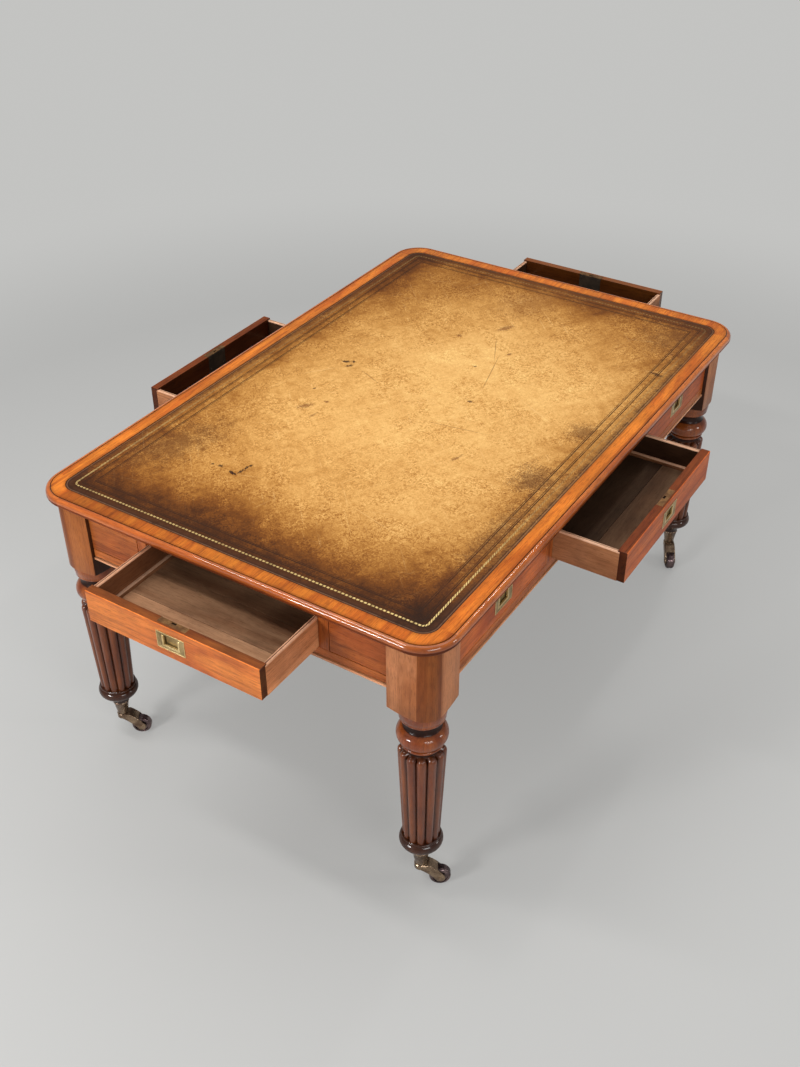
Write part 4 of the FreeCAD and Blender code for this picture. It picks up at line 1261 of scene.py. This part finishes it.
for number, name in enumerate(drawers):
    low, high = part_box("drawer_front_" + name)
    box_low, box_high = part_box("drawer_box_" + name)
    ends = name.split("_")[0] in ("left", "right")
    half = (high.y - low.y if ends else high.x - low.x) / 2
    front_foot, front_head = low.z, high.z
    reach = (box_high.x - box_low.x if ends else box_high.y - box_low.y) + front_thick - housing
    middle = (front_foot + front_head) / 2
    place = drawer_place(name)
    shade = painted_light_of_box[name.split("_")[0]]
    front = block((-half, -front_thick, front_foot), (half, 0, front_head))
    rounded(front, lambda ends: all(end.z > front_head - 0.0001 and end.y > -0.0001 for end in ends),
            worn_arris, 3)
    selvedge_edge = selvedge_inset - front_thick
    cheek = half - side_thick
    side_cut = ((-cut_behind, housing - front_thick), (front_foot - cut_past, front_head - side_drop))
    for spans in (
            (about(plate_size[0]), (-plate_seat, cut_past), about(plate_size[1], middle)),
            (about(pan_size[0]), (-pan_deep, cut_past), about(pan_size[1], middle)),
            (about(lock_size[0]), (-cut_behind, lock_size[2] - front_thick),
             (front_head - lock_size[1], front_head + cut_past)),
            (about(selvedge_size[0]), (selvedge_edge, selvedge_edge + selvedge_size[1]),
             (front_head - selvedge_size[2], front_head + cut_past)),
            ((-half - cut_past, -cheek), *side_cut), ((cheek, half + cut_past), *side_cut)):
        carve(front, block(*zip(*spans)))
    soften(front, 0.0007, 2, 60)
    # The front's inner face is painted shade; its end grain and its top are dark; its outer arris is pale,
    # worn and a painted highlight.
    lay_by(front, lambda point, face: (
        [point.x + 3.7 * number, point.y + 0.23 * number, point.z + 0.5 * number],
        -1.7 if abs(face.x) > half - 0.0002 or face.y < 0.001 - front_thick else
        1.0 if face.z > front_head - worn_arris and face.y > -worn_arris else
        -1.2 if face.z > front_head - 0.0001 else 0.0))
    clad(front, front_wood if ends else long_front_shaded_wood)
    front.data.transform(place)
    front.name = "drawer_front_board_" + name
    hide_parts("drawer_front_" + name)
    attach(front, "drawer_" + name)

    pieces = []
    side_top, side_foot = front_head - side_drop, box_low.z
    bottom_low = front_foot + bottom_rise
    bottom_high = bottom_low + bottom_thick
    for sign in (-1, 1):
        near, far = sorted((sign * half, sign * cheek))
        side = block((near, -reach, side_foot), (far, housing - front_thick, side_top))
        rounded(side, lambda ends: all(end.z > side_top - 0.001 for end in ends)
                and abs(ends[0].y - ends[1].y) > 0.05, side_round, 5)
        choose(side, "FACE", lambda ends: all(end.z > side_top - 0.0001 for end in ends))
        bpy.ops.mesh.inset(thickness=0.0004, depth=-0.0010)
        bpy.ops.object.mode_set(mode="OBJECT")
        smooth(side, 40)
        crest = sign * (half - side_thick / 2)
        # A dark line along the sunk crest of the side: painted shade between its two pale arrises.
        soil_and_shade(side, lambda point: 0.8 * (point.z > side_top - 0.0015 and abs(point.x - crest) < 0.0012))
        # The side's inner face is painted shade, and the left end drawer's outer face painted light.
        lay_by(side, lambda point, face: (
            [point.y + 1.3 * number, point.x + 0.2 * sign, point.z + 0.4],
            0.2 if face.z > side_top - side_round + 0.0002 else
            min(-1.0, shade - 0.4) if abs(face.x) < cheek + 0.0001 else max(0, 2.0 * shade) - 0.1))
        pieces.append(rubbed_and_highlit_above(side, side_top - side_round + 0.0002))
        near, far = sorted((sign * cheek, sign * (cheek - slip)))
        quarter = block((near, back_thick - reach, bottom_high), (far, -front_thick, bottom_high + slip))
        rounded(quarter, lambda ends: all(end.z > bottom_high + slip / 2 and abs(end.x) < cheek - slip / 2
                                          for end in ends), slip * 0.98, 6)
        smooth(quarter, 40)
        rubbed_and_highlit_height = bottom_high + slip_rubbed_and_highlit * slip
        # The slip's crest is lighter than its foot: a painted highlight.
        lay_by(quarter, lambda point, face: (
            [point.y + 0.7 * number, point.x + 0.5 * sign, point.z + 0.1],
            -0.4 if face.z > rubbed_and_highlit_height else -1.0))
        pieces.append(rubbed_and_highlit_above(quarter, rubbed_and_highlit_height))
    back = board((-cheek, -reach, bottom_high), (cheek, back_thick - reach, side_top - back_drop), "X")
    pieces.append(rubbed_and_highlit_above(back, side_top))
    box_of_boards = joined("drawer_box_boards_" + name, pieces)
    planks = []
    run = reach - front_thick + tongue
    count = max(2, round(run / plank))
    for step in range(count):
        far = tongue - front_thick - run * step / count
        near = tongue - front_thick - run * (step + 1) / count
        # Each plank takes its box's painted light or shade; the first plank is lighter.
        tone = shade + 0.4 if step == 0 else shade - 0.3 + 0.25 * sin(7.0 * (step + number))
        planks.append(board((-cheek, near + plank_gap, bottom_low), (cheek, far, bottom_high), "X", 0.0006,
                            tone))
    bottom = joined("bottom", planks)
    clad(bottom, bottom_wood)
    whole = joined("drawer_box_boards_" + name, [box_of_boards, bottom])
    whole.data.transform(place)
    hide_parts("drawer_box_" + name)
    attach(whole, "drawer_" + name)


# Handles and locks
# Flush brass handles of the kind made for travelling chests: a plate let into the front, a
# sunk pan, and a square-barred bail that swings up on two stubs. Behind each, a steel lock
# with a brass selvedge along the front's top edge.
handle_brass = metal("antique_brass", (172, 146, 96), (124, 102, 62), 0.32, 0.45, 30.0, 0.6)
# Bright brass for the plate's raised rim and the bail: rubbed, and a painted highlight.
rubbed_and_highlit_brass = metal("rubbed_and_highlit_brass", (222, 194, 136), (190, 158, 100), 0.26, 0.40, 30.0, 0.7)
selvedge_brass = metal("selvedge_brass", (150, 108, 64), (104, 70, 40), 0.42, 0.5, 60.0, 0.7)
lock_steel = metal("lock_steel", (70, 56, 42), (46, 36, 26), 0.6, 0.5, 30.0, 0.3)
low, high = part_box("drawer_front_back_centre")
middle = (low.z + high.z) / 2
front_head = high.z
bail_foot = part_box("handle_bail_back_centre")[0].z
cavity_foot, cavity_top = about(0.0301, middle)
cavity_half = 0.0235
plate_proud = 0.0008
pan_floor = 0.002
bail_half = 0.023
bail_inner = 0.018
bail_bar = 0.005
bail_thick = 0.004
bail_face = 0.0003
bail_gap = 0.0011
ear_radius = 0.002
stub_radius = 0.00125

plate = block(*zip(about(plate_size[0]), (-plate_seat, plate_proud), about(plate_size[1], middle)))
choose(plate, "FACE", lambda ends: all(end.y > plate_proud - 0.0001 for end in ends))
bpy.ops.mesh.inset(thickness=0.0018, depth=0)
bpy.ops.mesh.inset(thickness=0.0009, depth=-0.0005)
bpy.ops.object.mode_set(mode="OBJECT")
pan = block(*zip(about(pan_size[0]), (-pan_deep, -plate_seat), about(pan_size[1], middle)))
carve(plate, pan, "UNION")
cavity = block((-cavity_half, pan_floor - pan_deep, cavity_foot), (cavity_half, 0.01, cavity_top))
rounded(cavity, lambda ends: all(end.y < -0.005 for end in ends), 0.0012, 4)
carve(plate, cavity)
soften(plate, 0.0003, 2, 50)
clad(plate, handle_brass, rubbed_and_highlit_brass)
for face in plate.data.polygons:
    past = max(abs(face.center.x) - plate_size[0] / 2, abs(face.center.z - middle) - plate_size[1] / 2)
    face.material_index = int(past > -0.0019 and face.center.y > 0)

selvedge_foot = front_head - selvedge_size[2]
case = block(*zip(about(lock_size[0]), (-front_thick, lock_size[2] - front_thick),
                  (front_head - lock_size[1], selvedge_foot)))
clad(soften(case, 0.0005), lock_steel)
selvedge = block(*zip(about(selvedge_size[0]), (selvedge_edge, selvedge_edge + selvedge_size[1]),
                      (selvedge_foot, front_head)))
clad(soften(selvedge, 0.0003, 1), selvedge_brass)
bolt_middle = selvedge_edge + lock_size[2] / 2
slot_low = (-0.006, bolt_middle - 0.0025, front_head - 0.0045)
slot_high = (0.006, bolt_middle + 0.0025, front_head + 0.001)
carve(case, block(slot_low, slot_high))
carve(selvedge, block(slot_low, slot_high))
screws = []
for across in (-0.027, 0.027):
    for up in (-0.010, -0.040):
        screw = turn("screw", [(0.0028, 0.0008), (0.0031, 0.0), (0.0031, -0.001)], 24)
        carve(screw, block((-0.004, -0.0003, 0.0003), (0.004, 0.0003, 0.002)))
        screw.data.transform(Matrix.Translation((across, -front_thick - 0.0002, front_head + up))
                             @ Matrix.Rotation(pi / 2, 4, "X") @ Matrix.Rotation(40 * across * up, 4, "Z"))
        clad(screw, lock_steel)
        screws.append(screw)
handle = joined("handle_and_lock", [plate, case, selvedge] + screws)

pivot = cavity_top - bail_gap - ear_radius
bail = block((-bail_half, bail_face - bail_thick, bail_foot), (bail_half, bail_face, pivot))
carve(bail, block((-bail_inner, -0.01, bail_foot + bail_bar), (bail_inner, 0.01, pivot + 0.01)))
for sign in (-1, 1):
    for radius, length, out, count in ((ear_radius, 0.005, 0.0205, 24), (stub_radius, 0.0024, 0.0232, 20)):
        place = (sign * out, bail_face - ear_radius, pivot)
        carve(bail, rod(radius, length, place, (0, pi / 2, 0), count), "UNION")
soften(bail, 0.0005, 2, 50)
smooth(bail, 40)
clad(bail, rubbed_and_highlit_brass)

for name in drawers:
    place = drawer_place(name)
    piece = copy_of(handle, "flush_handle_and_lock_" + name, place)
    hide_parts("handle_and_lock_" + name)
    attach(piece, "drawer_" + name)
    piece = copy_of(bail, "swinging_bail_" + name, place)
    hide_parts("handle_bail_" + name)
    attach(piece, "bail_" + name)
bpy.data.objects.remove(handle)
bpy.data.objects.remove(bail)
